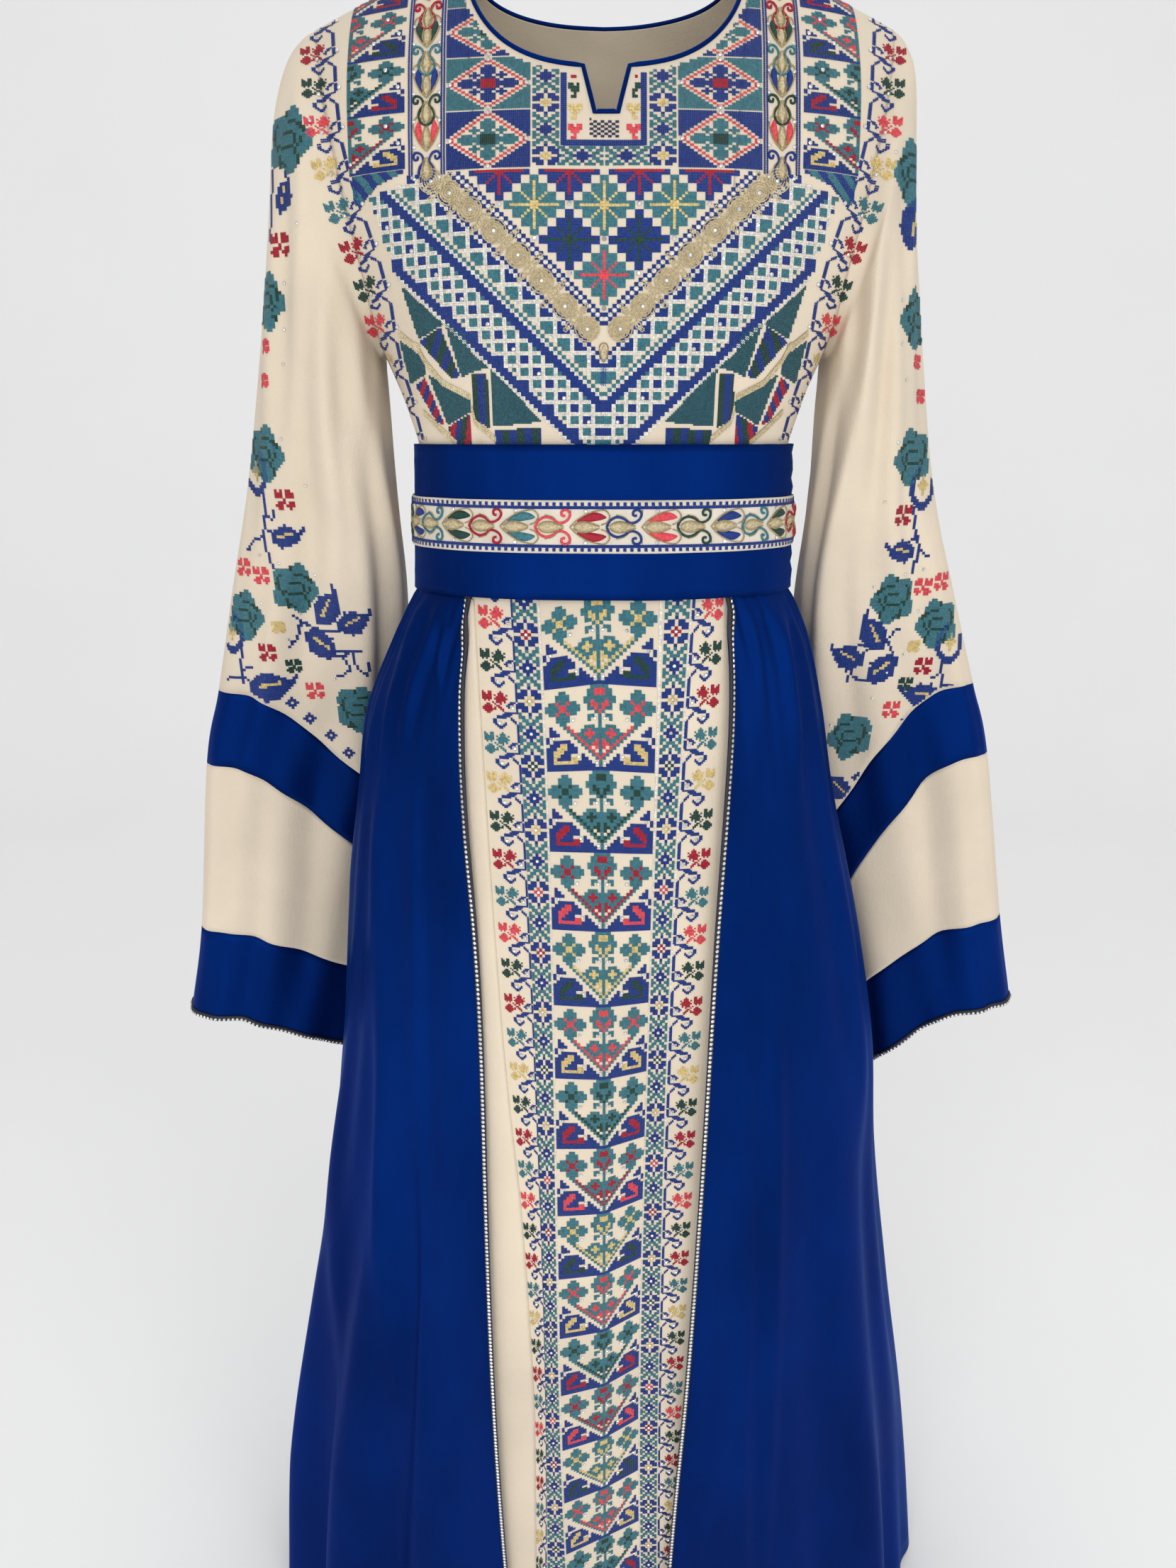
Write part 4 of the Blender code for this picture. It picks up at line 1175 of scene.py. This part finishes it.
def sew_shoulder(work, at, side):
    """The woven ribbon bands over the shoulders, their motifs, and the blocks with their lozenges."""
    for u in (0.0968, 0.0985, 0.1173, 0.1190):
        z = np.linspace(-0.028, -0.1475, 60)
        work.beads(np.stack((MIDDLE + side * (u + 0 * z), z), 1), BAND_CORD)
    for z, kind, thread in RIBBON_MOTIFS:
        centre = np.array(at(RIBBON_MIDDLE, z))
        flourish(work, kind, centre, math.pi / 2, 0.0180, thread)
        work.stones([centre + (s * 0.0080, -0.0065) for s in (-1, 1)], TINY)
    for foot, top, *threads in BLOCKS:
        cells, high = {}, (top - foot) / 22
        for row in range(-11, 11):
            for column in range(-11, 11):
                thread = block_thread(column + 0.5, row + 0.5, *threads)
                if thread:
                    put(cells, thread, *at(BLOCK_MIDDLE + (column + 0.5) * CHEST_CELL, foot + (row + 11.5) * high))
        sew(work, cells, CHEST_CELL, high)
        middle = foot + 11 * high
        work.stones([at(BLOCK_MIDDLE + s * 0.0233, middle) for s in (-1, 1)]
                    + [at(BLOCK_MIDDLE, middle + s * 10.2 * high) for s in (-1, 1)], MEDIUM)


def sew_neck(work, at, side):
    """The border that runs down from the neck and across, its blue line, and the small motifs inside it."""
    cells, (wide, high) = {}, CHEST_BORDER_CELL
    for row, column, mark in marks([BORDER[row % 20] for row in range(-3, 64)]):
        put(cells, THREAD_OF.get(mark, "ochre"), *at(0.0270 + (column + 0.5) * wide, -0.1390 + (row - 3) * high))
    for row, column, mark in marks([BORDER[row % 20] for row in range(-15, -3)]):
        spot = at(0.0350 + (row - 15) * wide + 0.00115, -0.1390 + (column - 3) * high)
        put(cells, THREAD_OF.get(mark, "ochre"), *spot)
    sew(work, cells, wide, high)
    patch(work, at, "224 500, 256 500, 256 1325, 224 1325")
    patch(work, at, "0 1300, 240 1300, 240 1328, 0 1328")
    wide, high = SPRIG_CELL
    for middle, thread in SPRIGS:
        cells = {}
        for row, column, _ in marks(SPRIG):
            put(cells, thread, *at(0.0175 + (2 - column) * wide, middle + (2 - row) * high))
        sew(work, cells, wide, high, 1)
    cells = {}
    for row in range(9):
        for column in range(4):
            if (row + column) % 2 == (side + 1) // 2:
                put(cells, "navy", *at(0.0011 + column * 0.0022, -0.1165 - row * 0.0014))
    sew(work, cells, 0.0022, 0.0014)


def sew_armhole(work, at, side):
    """The half motifs outside the ribbon, and the scroll round the armhole."""
    wide, high = HALF_MOTIF_CELL
    for foot, accent, paisley in HALF_MOTIFS:
        cells = motif_cells(lambda c, r: at(0.1590 + c * wide, foot + (r + 0.5) * high), accent, paisley, range(-15, 1))
        sew(work, cells, wide, high)
        work.stones([at(0.1340, foot + 0.0255), at(0.1425, foot + 0.0105), at(0.1260, foot + 0.0150)], MEDIUM)
    patch(work, at, "1590 1432, 1235 1432, 1235 1450, 1400 1500, 1530 1600, 1575 1590", "blue teal", 1.0, 0.006)
    wide, high = ARM_CELL
    middles = np.arange(-0.034, -0.302, -high)
    arm, ahead = (np.interp(-middles + more, -ARM_PATH[:, 1], ARM_PATH[:, 0]) for more in (0, 0.004))
    run = unit(np.stack((ahead - arm, np.full(middles.shape, -0.004)), -1))
    out = np.stack((-run[:, 1], run[:, 0]), 1)
    cells = {}
    for row, spot in enumerate(np.stack((arm, middles), -1)):
        for _, column, mark in marks([SCROLL[row % 24]]):
            thread = THREAD_OF.get(mark, ARM_COLOURS[row // 24 % len(ARM_COLOURS)])
            put(cells, thread, *at(*(spot + out[row] * (14.7 - column) * wide)))
        if row % 24 == 10:
            work.stones([at(*(spot + out[row] * reach)) for reach in (-0.0060, 0.0090)], SMALL)
    sew(work, cells, wide, high, 1)


def sew_chest(work, at, side):
    """The star lattice and the V bands, as far as the armhole's scroll."""
    def shown(u, z):
        limit = np.interp(-z, -ARM_PATH[:, 1], ARM_PATH[:, 0]) - 0.0125
        return u <= limit and not (u > 0.1215 and z > -0.1500 - (u - 0.1215) * 0.30) and z >= -0.3055

    cells = {}
    for row in range(48):
        for column in range(48 - row):
            u, z, thread = column * WIDE, CHEST_TOP - (row + 0.5) * HIGH, star_thread(column, row)
            if thread and shown(u, z) and (side < 0 or column > 0):
                put(cells, thread, *at(u, z))
    sew(work, cells, WIDE, HIGH, 1)
    cells, dots, gems = {}, [], []
    for row in range(67):
        for column in range(60):
            line, thread = row + column, band_thread(column, row)
            u, z = (column + 0.5) * 1.5 * WIDE, CHEST_TOP - (row + 0.5) * 1.5 * HIGH
            if 33 <= line <= 72 and shown(u, z):
                if thread:
                    put(cells, thread, *at(u, z))
                if line == 34:
                    dots.append(at(u, z))
                if ((line == 62 and column % 6 == 3 and (row - 1) % 3 == 1)
                        or (line == 47 and (34 - column) % 4 == 3 and column % 8 == 3)):
                    gems.append(at(u, z))
    sew(work, cells, 1.5 * WIDE, 1.5 * HIGH)
    work.stones(gems, MEDIUM)
    work.stitches(dots, (0.0008, 0.0008), (-0.0008, 0.0008), "white", 0.0007)
    work.stones([at(12 * WIDE * k, CHEST_TOP - 12 * HIGH * (j + 1))
                 for k, j in ((1, 0), (3, 0), (0, 1), (2, 1), (1, 2), (0, 3))], LARGE)
    patch(work, at, "0 2555, 16 2555, 16 2680, 0 2680")


def sew_gold(work, at, side):
    """The rosettes and the rings between them, the patches in the corners and their gold cords."""
    path = np.array([at(u, z) for u, z in ROSETTES])
    for centre in path:
        rosette(work, centre)
    for centre in (path[1:] + path[:-1]) / 2:
        for hand in (-1, 1):
            for reach, radius in ((0.0015, 0.0019), (0.0042, 0.0018), (0.0066, 0.0012)):
                middle = centre + (side * reach * hand, -reach * hand)
                disc(work, middle, radius + 0.0003)
                work.beads(circle(17) * radius + middle, RING_CORD)
    for outline, threads, lean, width in PATCHES:
        patch(work, at, outline, threads, lean * side, width)
    for cord in GOLD_CORDS:
        for shift in (-0.0012, 0.0, 0.0012):
            work.beads(np.array([at(u, z + shift) for u, z in places(cord)]), CHEST_CORD)


def make_bodice_work():
    nets = [NETS["bodice_front"], NETS["sleeve_left_upper"], NETS["sleeve_right_upper"]]
    work = Work(Field(nets, (-0.200, 0.200), (-0.310, -0.020)))
    for side in SIDES:
        for sewn in (sew_shoulder, sew_neck, sew_armhole, sew_chest, sew_gold):
            sewn(work, lambda u, z: (MIDDLE + side * u, z), side)
    drop(work, np.array((MIDDLE, -0.2490)))
    work.build("bodice_stitches", "ivory_crepe")


# ---------------------------------------------------------------- the sleeves' flowers

UNIT = 0.0021
Sewn = namedtuple("Sewn", "kind x z size turn thread")
KINDS = {"rose": "teal", "leaf": "blue", "cup": "blue", "star": "blue"}
# What is sewn on each sleeve's lower half and up its outside: its kind, or its thread where it is petals, how
# far out and down it is, and where they are not 1 and 0, its size and turn.
FLOWERS = {-1: """
    rose 2035 1180, leaf 2080 1490 0.72 1.1, red 2144 1782, rose 2300 2113 0.95, coral 2330 2400 0.6, coral 2360
    2620 0.6, rose 2430 3108, cup 2520 3232, red 2294 3426 1 0.3, leaf 2319 3693 0.85 0.1, coral 2570 3991 0.9,
    coral 2723 3936 0.9, rose 2329 4087, rose 2770 4306, cup 2890 4440, leaf 2096 4242 1.1 0.9, leaf 1909 4359 1
    0.3, leaf 2181 4556 1.1 -0.7, ochre 2489 4391 0.6, red 2603 4596 0.95, green 2427 4719 0.75, leaf 2610 4880 1.25
    0.05, coral 2291 4933 0.95, star 2480 5030 0.8, star 2361 5170, star 2215 5330, star 2084 5485, rose 1977 5103
    1.05""", 1: """
    rose 2010 1366, leaf 2020 1640 1.1 1.7, rose 2150 2223, coral 2175 2495 0.6, coral 2240 2720 0.6, rose 2215
    3132, cup 2330 3331, red 2184 3539, leaf 2203 3805 0.85 0.1, rose 2205 4169, coral 2432 4080 0.9, coral 2581
    4044 0.9, rose 2590 4371, cup 2710 4518, leaf 2081 4440 1.1 0.9, leaf 1911 4640 1 0.3, leaf 2184 4749 1.1 -0.7,
    leaf 2546 4966 1.1 0.05, ochre 2424 4552 0.6, green 2406 4867 0.75, red 2524 4714 0.95, coral 2319 5082 0.95,
    rose 2031 5333 1.05, leaf 1974 5799 1 0.6, star 2463 5174 0.8, star 2396 5350, star 2270 5540, star 2140 5710"""}
STEMS = {-1: """
    2180 1320, 2200 1500, 2222 1750; 2462 3380, 2470 3560, 2496 3713, 2459 3940; 2470 3520, 2410 3560, 2380 3500;
    2490 3700, 2600 3730, 2663 3816; 2490 3620, 2400 3690; 2378 4300, 2257 4398, 2080 4437, 1980 4400; 2330 4330,
    2370 4480, 2440 4560; 2104 4603, 1990 4600, 1880 4590; 1960 4620, 1930 4740, 1870 4800, 1850 4700; 2040 4640,
    2000 4760, 2110 4820; 2810 4515, 2830 4700, 2846 4860; 2830 4740, 2740 4720; 2840 4800, 2961 4823; 2840 4790,
    2760 4860""", 1: """
    2271 3481, 2300 3650, 2349 3793, 2323 3978; 2340 3700, 2250 3740; 2350 3780, 2440 3860; 2286 4396, 2176 4512,
    2010 4537, 1950 4560; 2200 4480, 2270 4600; 2060 4560, 1990 4720, 1940 4850; 2020 4640, 1930 4780; 2663 4628,
    2680 4800, 2699 4952; 2680 4760, 2600 4820; 2690 4860, 2780 4880"""}


def read_flower(text):
    kind, out, down, *rest = text.split()
    size, turn = [float(word) for word in rest] + [1.0, 0.0][len(rest):]
    return Sewn(kind if kind in KINDS else "petals", float(out) / TENTHS, -float(down) / TENTHS, size, turn,
                KINDS.get(kind, kind))


def rose_thread(x, z, thread):
    """A cross-stitched rose, from -1 to 1: petals in one thread, their outlines dark."""
    reach, turn = math.hypot(x, z), math.atan2(z, x)
    if reach > 0.94 + 0.10 * math.cos(5 * turn + 0.6):
        return None
    ring = abs(reach - 0.62 - 0.10 * math.sin(3 * turn + 0.4)) < 0.055 and math.sin(2 * turn + 0.9) > -0.75
    heart = abs(reach - 0.30 - 0.08 * math.cos(2 * turn)) < 0.06 and turn < 2.2
    ray = reach > 0.66 and min(abs(wrap(turn - at)) for at in (0.35, 1.6, 2.9, -0.9, -2.1)) < 0.09
    return "green" if ring or heart or ray else thread


def leaf_thread(x, z, thread):
    """A leaf that lies along x from -1 to 1, with a gold vein and a hooked tip."""
    if x > 0.80:
        return thread if abs(z - 0.9 * (x - 0.8)) < 0.14 and x < 1.25 else None
    tooth = 0.10 if abs(x + 0.35) < 0.09 or abs(x - 0.15) < 0.09 else 0
    if abs(z) > 0.62 * max(1 - abs(x + 0.12) ** 2.0, 0) ** 0.7 + tooth:
        return None
    return "ochre" if abs(z - 0.10 - 0.1 * x) < 0.075 and -0.60 < x < 0.40 else thread


def cup_thread(x, z, thread):
    """The cup under a rose: a gold heart in a blue bowl."""
    reach = math.hypot(x, z * 0.85)
    if reach < 0.42 and (abs(x) < 0.10 or abs(z) < 0.10 or abs(abs(x) - abs(z)) < 0.10):
        return "ochre"
    return thread if 0.66 < reach < 1 and (z < 0.35 or x > 0.2) else None


# Each form's thread, and how many stitches wide and high half of it is.
FORMS = {"rose": (rose_thread, 8.0, 9.5), "leaf": (leaf_thread, 6.3, 6.9), "cup": (cup_thread, 5.5, 7.0)}


def sew_sleeve(work, side, flowers, stems):
    cells = {}
    for sewn in flowers:
        if sewn.kind in FORMS:
            thread_at, wide, high = FORMS[sewn.kind]
            c, s = math.cos(sewn.turn), math.sin(sewn.turn)
            reach = int(max(wide, high) * sewn.size * 1.3) + 1
            for i in range(-reach, reach + 1):
                for j in range(-reach, reach + 1):
                    # x runs outward on the sleeve, and the motifs point inward
                    x, z = -i / (wide * sewn.size), j / (high * sewn.size)
                    thread = thread_at(x * c + z * s, -x * s + z * c, sewn.thread)
                    if thread:
                        put(cells, thread, side * (sewn.x + i * UNIT), sewn.z + j * UNIT)
        else:
            chart, cell = (STAR, UNIT) if sewn.kind == "star" else (PETALS, UNIT * sewn.size)
            half = len(chart) // 2
            for j, i, _ in marks(chart):
                put(cells, sewn.thread, side * (sewn.x + (i - half) * cell), sewn.z + (half - j) * cell)
    for stem in stems:
        path = np.array([(side * x, z) for x, z in places(stem)])
        for x, z in walk(eased(path, 20) if len(path) > 2 else path, UNIT * 0.9)[0]:
            put(cells, "blue", side * round(side * x / UNIT) * UNIT, round(z / UNIT) * UNIT)
    cells["blue"] = sorted(set((round(x, 5), round(z, 5)) for x, z in cells["blue"]))
    sew(work, cells, UNIT, UNIT)
    gems = [(side * (sewn.x - 0.0165), sewn.z + 0.010) for sewn in flowers if sewn.kind in ("rose", "petals")]
    work.stones(gems, TINY)


def make_sleeves():
    for side, word in SIDES.items():
        flowers = [read_flower(flower) for flower in FLOWERS[side].split(",")]
        for facing, where in ((-1, "front"), (1, "back")):
            window = sorted((side * 0.150, side * 0.320))
            work = Work(Field([NETS[f"sleeve_{word}_upper"]], window, (-0.62, -0.06), facing))
            sew_sleeve(work, side, flowers, STEMS[side].split(";"))
            work.build(f"sleeve_{word}_stitches_{where}", "ivory_crepe")


# ---------------------------------------------------------------- the belt's ribbon, the tapes and the neck


class Girdle:
    """The ribbon round the sash, unrolled: x is how far round it is from the front's middle."""

    facing = -1

    def __init__(self, z):
        self.turn = np.linspace(-math.pi, math.pi, 721)
        self.gone = length_along(belt_point(self.turn, z)[:, :2])
        self.around = self.gone[-1]
        self.gone -= self.around / 2

    def at(self, spots, lift):
        around = (spots[..., 0] + self.around / 2) % self.around - self.around / 2
        turn = np.interp(around, self.gone, self.turn)
        return belt_point(turn, spots[..., 1], RIBBON_OUT + np.asarray(lift))


RIBBON_THREADS = ("red", "blue", "coral", "green", "blue", "teal", "green", "red", "teal", "coral")


def make_ribbon():
    middle = (RIBBON_TOP + RIBBON_FOOT) / 2
    girdle = Girdle(middle)
    work = Work(girdle)
    for n in range(-16, 16):
        centre = np.array((-0.0100 + n * (girdle.around / 32), middle))
        flourish(work, "curls" if n % 2 else "leaves", centre, 0.0, 0.0235, RIBBON_THREADS[n % 10])
        if n % 2 == 0:
            work.stones([centre + (-0.0020, s * 0.0100) for s in (-1, 1)], MEDIUM)
    for sign, edge in ((1, RIBBON_TOP), (-1, RIBBON_FOOT)):
        for pitch, shifts, half in ((0.0016, (0.0041, 0.0051), (0.0008, 0.00052)),
                                    (0.0046, (0.0018, 0.0029), (0.00105, 0.00058))):
            x = np.arange(-girdle.around / 2, girdle.around / 2, pitch)
            for shift in shifts:
                line = np.stack((x, x * 0 + edge - sign * shift), 1)
                work.stitches(line, (half[0], 0), (0, half[1]), "blue", 0.0006)
    work.build("ribbon_stitches", "woven_ribbon",
               lambda points: np.stack((np.arctan2(points[:, 0], -points[:, 1]) * 0.12, points[:, 2]), 1))


def chain(name, line, away, radius=LARGE):
    """Stones set along a line of points, each facing away from the tape."""
    gone = length_along(line)
    at = spaced(gone, 0.0037)
    middle, out = read_line(line, gone, at), unit(read_line(away, gone, at))
    run = np.gradient(middle, axis=0)
    run = unit(run - out * (run * out).sum(1, keepdims=True))
    ring = octagons(math.pi / 8, run, np.cross(out, run)) * radius
    out = out[:, None]
    low = middle[:, None] + out * CLEAR
    points = np.concatenate((low + ring, low + ring + out * 0.0005, low + ring * 0.55 + out * 0.0010,
                             low + out * 0.0010), 1)
    faces = copies(STONE_FACES, len(points), 25)
    place(name, points.reshape(-1, 3), faces, [STONE], "black_tape", np.zeros(len(faces)))


def make_tape(piece, net, closed, line, away):
    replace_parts(place_net(f"{piece}_tape", net, "black_tape", closed), f"{piece}_trim")
    chain(f"{piece}_stones", line, away)


def make_tapes():
    """The black tapes down the overskirt's front edges and round the cuffs, and their stones."""
    for side, word in SIDES.items():
        z = skirt_heights(HEM + 0.0005, 240)[:, 0]
        z = z[z < BELT_FOOT + 0.004]
        rims = []
        for out in (0.0003, 0.0012):
            for inset in (-0.0005, np.interp(z, (-0.75, -0.42), (0.0030, 0.0034))):
                lift = stand(z) + gathers(front_edge(z, side, np.maximum(inset, 0)), z) + out
                rims.append(skirt_point(front_edge(z, side, inset), z, lift))
        net = np.stack((rims[0], rims[2], rims[3], rims[1]), 1)[:, ::side]
        share = np.interp(z, (-0.75, -0.42), (0.42, 0.66))[:, None]
        line = rims[2] * (1 - share) + rims[3] * share
        make_tape(f"overskirt_{word}", net, False, line, line - (rims[0] + rims[1]) / 2)
        rows = []
        for row, out in ((12.0, 0.0002), (12.0, 0.0011), (11.945, 0.0011), (11.945, 0.0002)):
            points = sleeve_net(side, row - 0.0001, row, 2, 240)[0]
            run = np.roll(points, -1, 0) - np.roll(points, 1, 0)
            rows.append(points + unit(np.stack((run[:, 1], -run[:, 0], run[:, 0] * 0), 1)) * out)
        line, away = rows[1] * 0.72 + rows[2] * 0.28, rows[1] - rows[0]
        make_tape(f"sleeve_{word}", np.stack(rows), True, np.vstack((line, line[:1])), np.vstack((away, away[:1])))


def make_binding():
    """The satin piping round the neck and its notch."""
    front, back = NETS["bodice_front"][0][-1], NETS["bodice_back"][0][-1]
    # The front's line takes in the two corners on the shoulders.
    line = np.vstack((front[abs(front[:, 0]) < NECK_HALF + 0.0004], back[abs(back[:, 0]) < NECK_HALF - 0.0004]))
    run = unit(np.roll(line, -1, 0) - np.roll(line, 1, 0))
    facing = np.where(line[:, 1:2] < 0, (0, -1, 0), (0, 1, 0)) + np.array((0, 0, 0.5))
    facing = unit(facing - run * (facing * run).sum(1, keepdims=True))
    inward = np.cross(facing, run)
    path = line + inward * 0.0010 + facing * 0.0004
    points = (path[:, None] + octagons(0, inward, facing) * 0.0014).reshape(-1, 3)
    faces = net_faces(len(path), 8, True, True)[:, (0, 3, 2, 1)]
    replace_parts(place("neck_piping", points, faces, [SATIN], "blue_satin"), "neck_binding")


def make_pleat():
    """The ivory fold that the left front lets fall over the panel's edge."""
    z = np.linspace(-1.4140, -0.4060, 130)
    knots, level = np.transpose(places("""
        890 4083, 850 4893, 795 6366, 750 7300, 700 8000, 640 8700, 600 9530, 570 10533, 562 11033, 577 12757, 585
        14200"""))
    inner = np.interp(-z, -level, knots)
    outer = curve(FRONT_EDGES, "left", z) + 0.010
    room = np.maximum(stand(z) - 0.0016, 0.0006)
    columns = []
    for share in np.linspace(0, 1, 14):
        angle = -oval_angle(outer + (inner - outer) * share, curve(SKIRT, "left", z))
        lift = 0.0011 + 0.0010 * math.sin(math.pi * share) + (0.0004 if share < 1 else -0.0008)
        columns.append(skirt_point(angle, z, np.minimum(lift, room) if share < 0.3 else lift))
    piece = place_net("underskirt_fold", np.stack(columns, 1), "ivory_crepe")
    thicken(piece, 0.0005, False)


make_panel()
make_bodice_work()
make_sleeves()
make_ribbon()
make_tapes()
make_binding()
make_pleat()

# What is sewn to each cloth.
SEWN_ON = {
    "bodice_front": ("bodice_stitches", "neck_piping"),
    "underskirt_front": ("panel_stitches_upper", "panel_stitches_lower"),
    "ribbon": ("ribbon_stitches",)}
for word in SIDES.values():
    SEWN_ON[f"overskirt_{word}"] = (f"overskirt_{word}_tape", f"overskirt_{word}_stones")
    SEWN_ON[f"sleeve_{word}_cuff"] = (f"sleeve_{word}_tape", f"sleeve_{word}_stones")
    SEWN_ON[f"sleeve_{word}_upper"] = (f"sleeve_{word}_stitches_front", f"sleeve_{word}_stitches_back")
for cloth in CLOTHS:
    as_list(SEWN_ON.get(cloth.name, ()))


# ---------------------------------------------------------------- the stage, the light and the camera

FLOOR = -1.428
WALL = 3.0
BEND = 0.6


def stage():
    """A pale floor that bends up into a wall behind the dress."""
    looks = finish("pale_floor", (0.97, 0.97, 0.97), (grain(3, 4), 0.985, 1.0), (0.85, 0.95))
    mesh = bpy.data.meshes.new("floor")
    rows = [(-4.0, FLOOR), (2.4, FLOOR)]
    rows += [(2.4 + BEND * math.sin(t), -0.828 - BEND * math.cos(t)) for t in np.linspace(0.2, math.pi / 2, 10)]
    rows += [(WALL, 2.5)]
    points = [(x, y, z) for y, z in rows for x in (-5.0, 5.0)]
    faces = [(2 * i, 2 * i + 1, 2 * i + 3, 2 * i + 2) for i in range(len(rows) - 1)]
    mesh.from_pydata(points, [], faces)
    mesh.shade_smooth()
    mesh.materials.append(looks)
    floor = bpy.data.objects.new("floor", mesh)
    bpy.context.scene.collection.objects.link(floor)


def lamp(name, where, size, power, aim=(0, 0, -0.6)):
    data = bpy.data.lights.new(name, "AREA")
    data.shape, data.size, data.energy = "DISK", size, power
    made = bpy.data.objects.new(name, data)
    made.location = where
    made.rotation_euler = (Vector(aim) - Vector(where)).to_track_quat("-Z", "Y").to_euler()
    bpy.context.scene.collection.objects.link(made)


stage()
lamp("key", (-0.8, -2.4, 0.4), 1.6, 10.5)
lamp("fill", (1.5, -2.2, 0.0), 2.0, 15)
lamp("low", (-0.5, -2.4, -0.9), 1.6, 11)
lamp("top", (0.0, 0.2, 2.4), 1.8, 9)
world = bpy.data.worlds.new("studio")
world.use_nodes = True
background = world.node_tree.nodes["Background"].inputs
background["Color"].default_value = (1, 1, 1, 1)
background["Strength"].default_value = 0.70
bpy.context.scene.world = world

eye = bpy.data.cameras.new("camera")
eye.lens = 25.99
camera = bpy.data.objects.new("camera", eye)
camera.location = (-0.011, -0.86, -0.30)
camera.rotation_euler = (math.radians(90 - 17), 0, 0)
bpy.context.scene.collection.objects.link(camera)
bpy.context.scene.camera = camera
bpy.context.scene.view_settings.view_transform = "Standard"
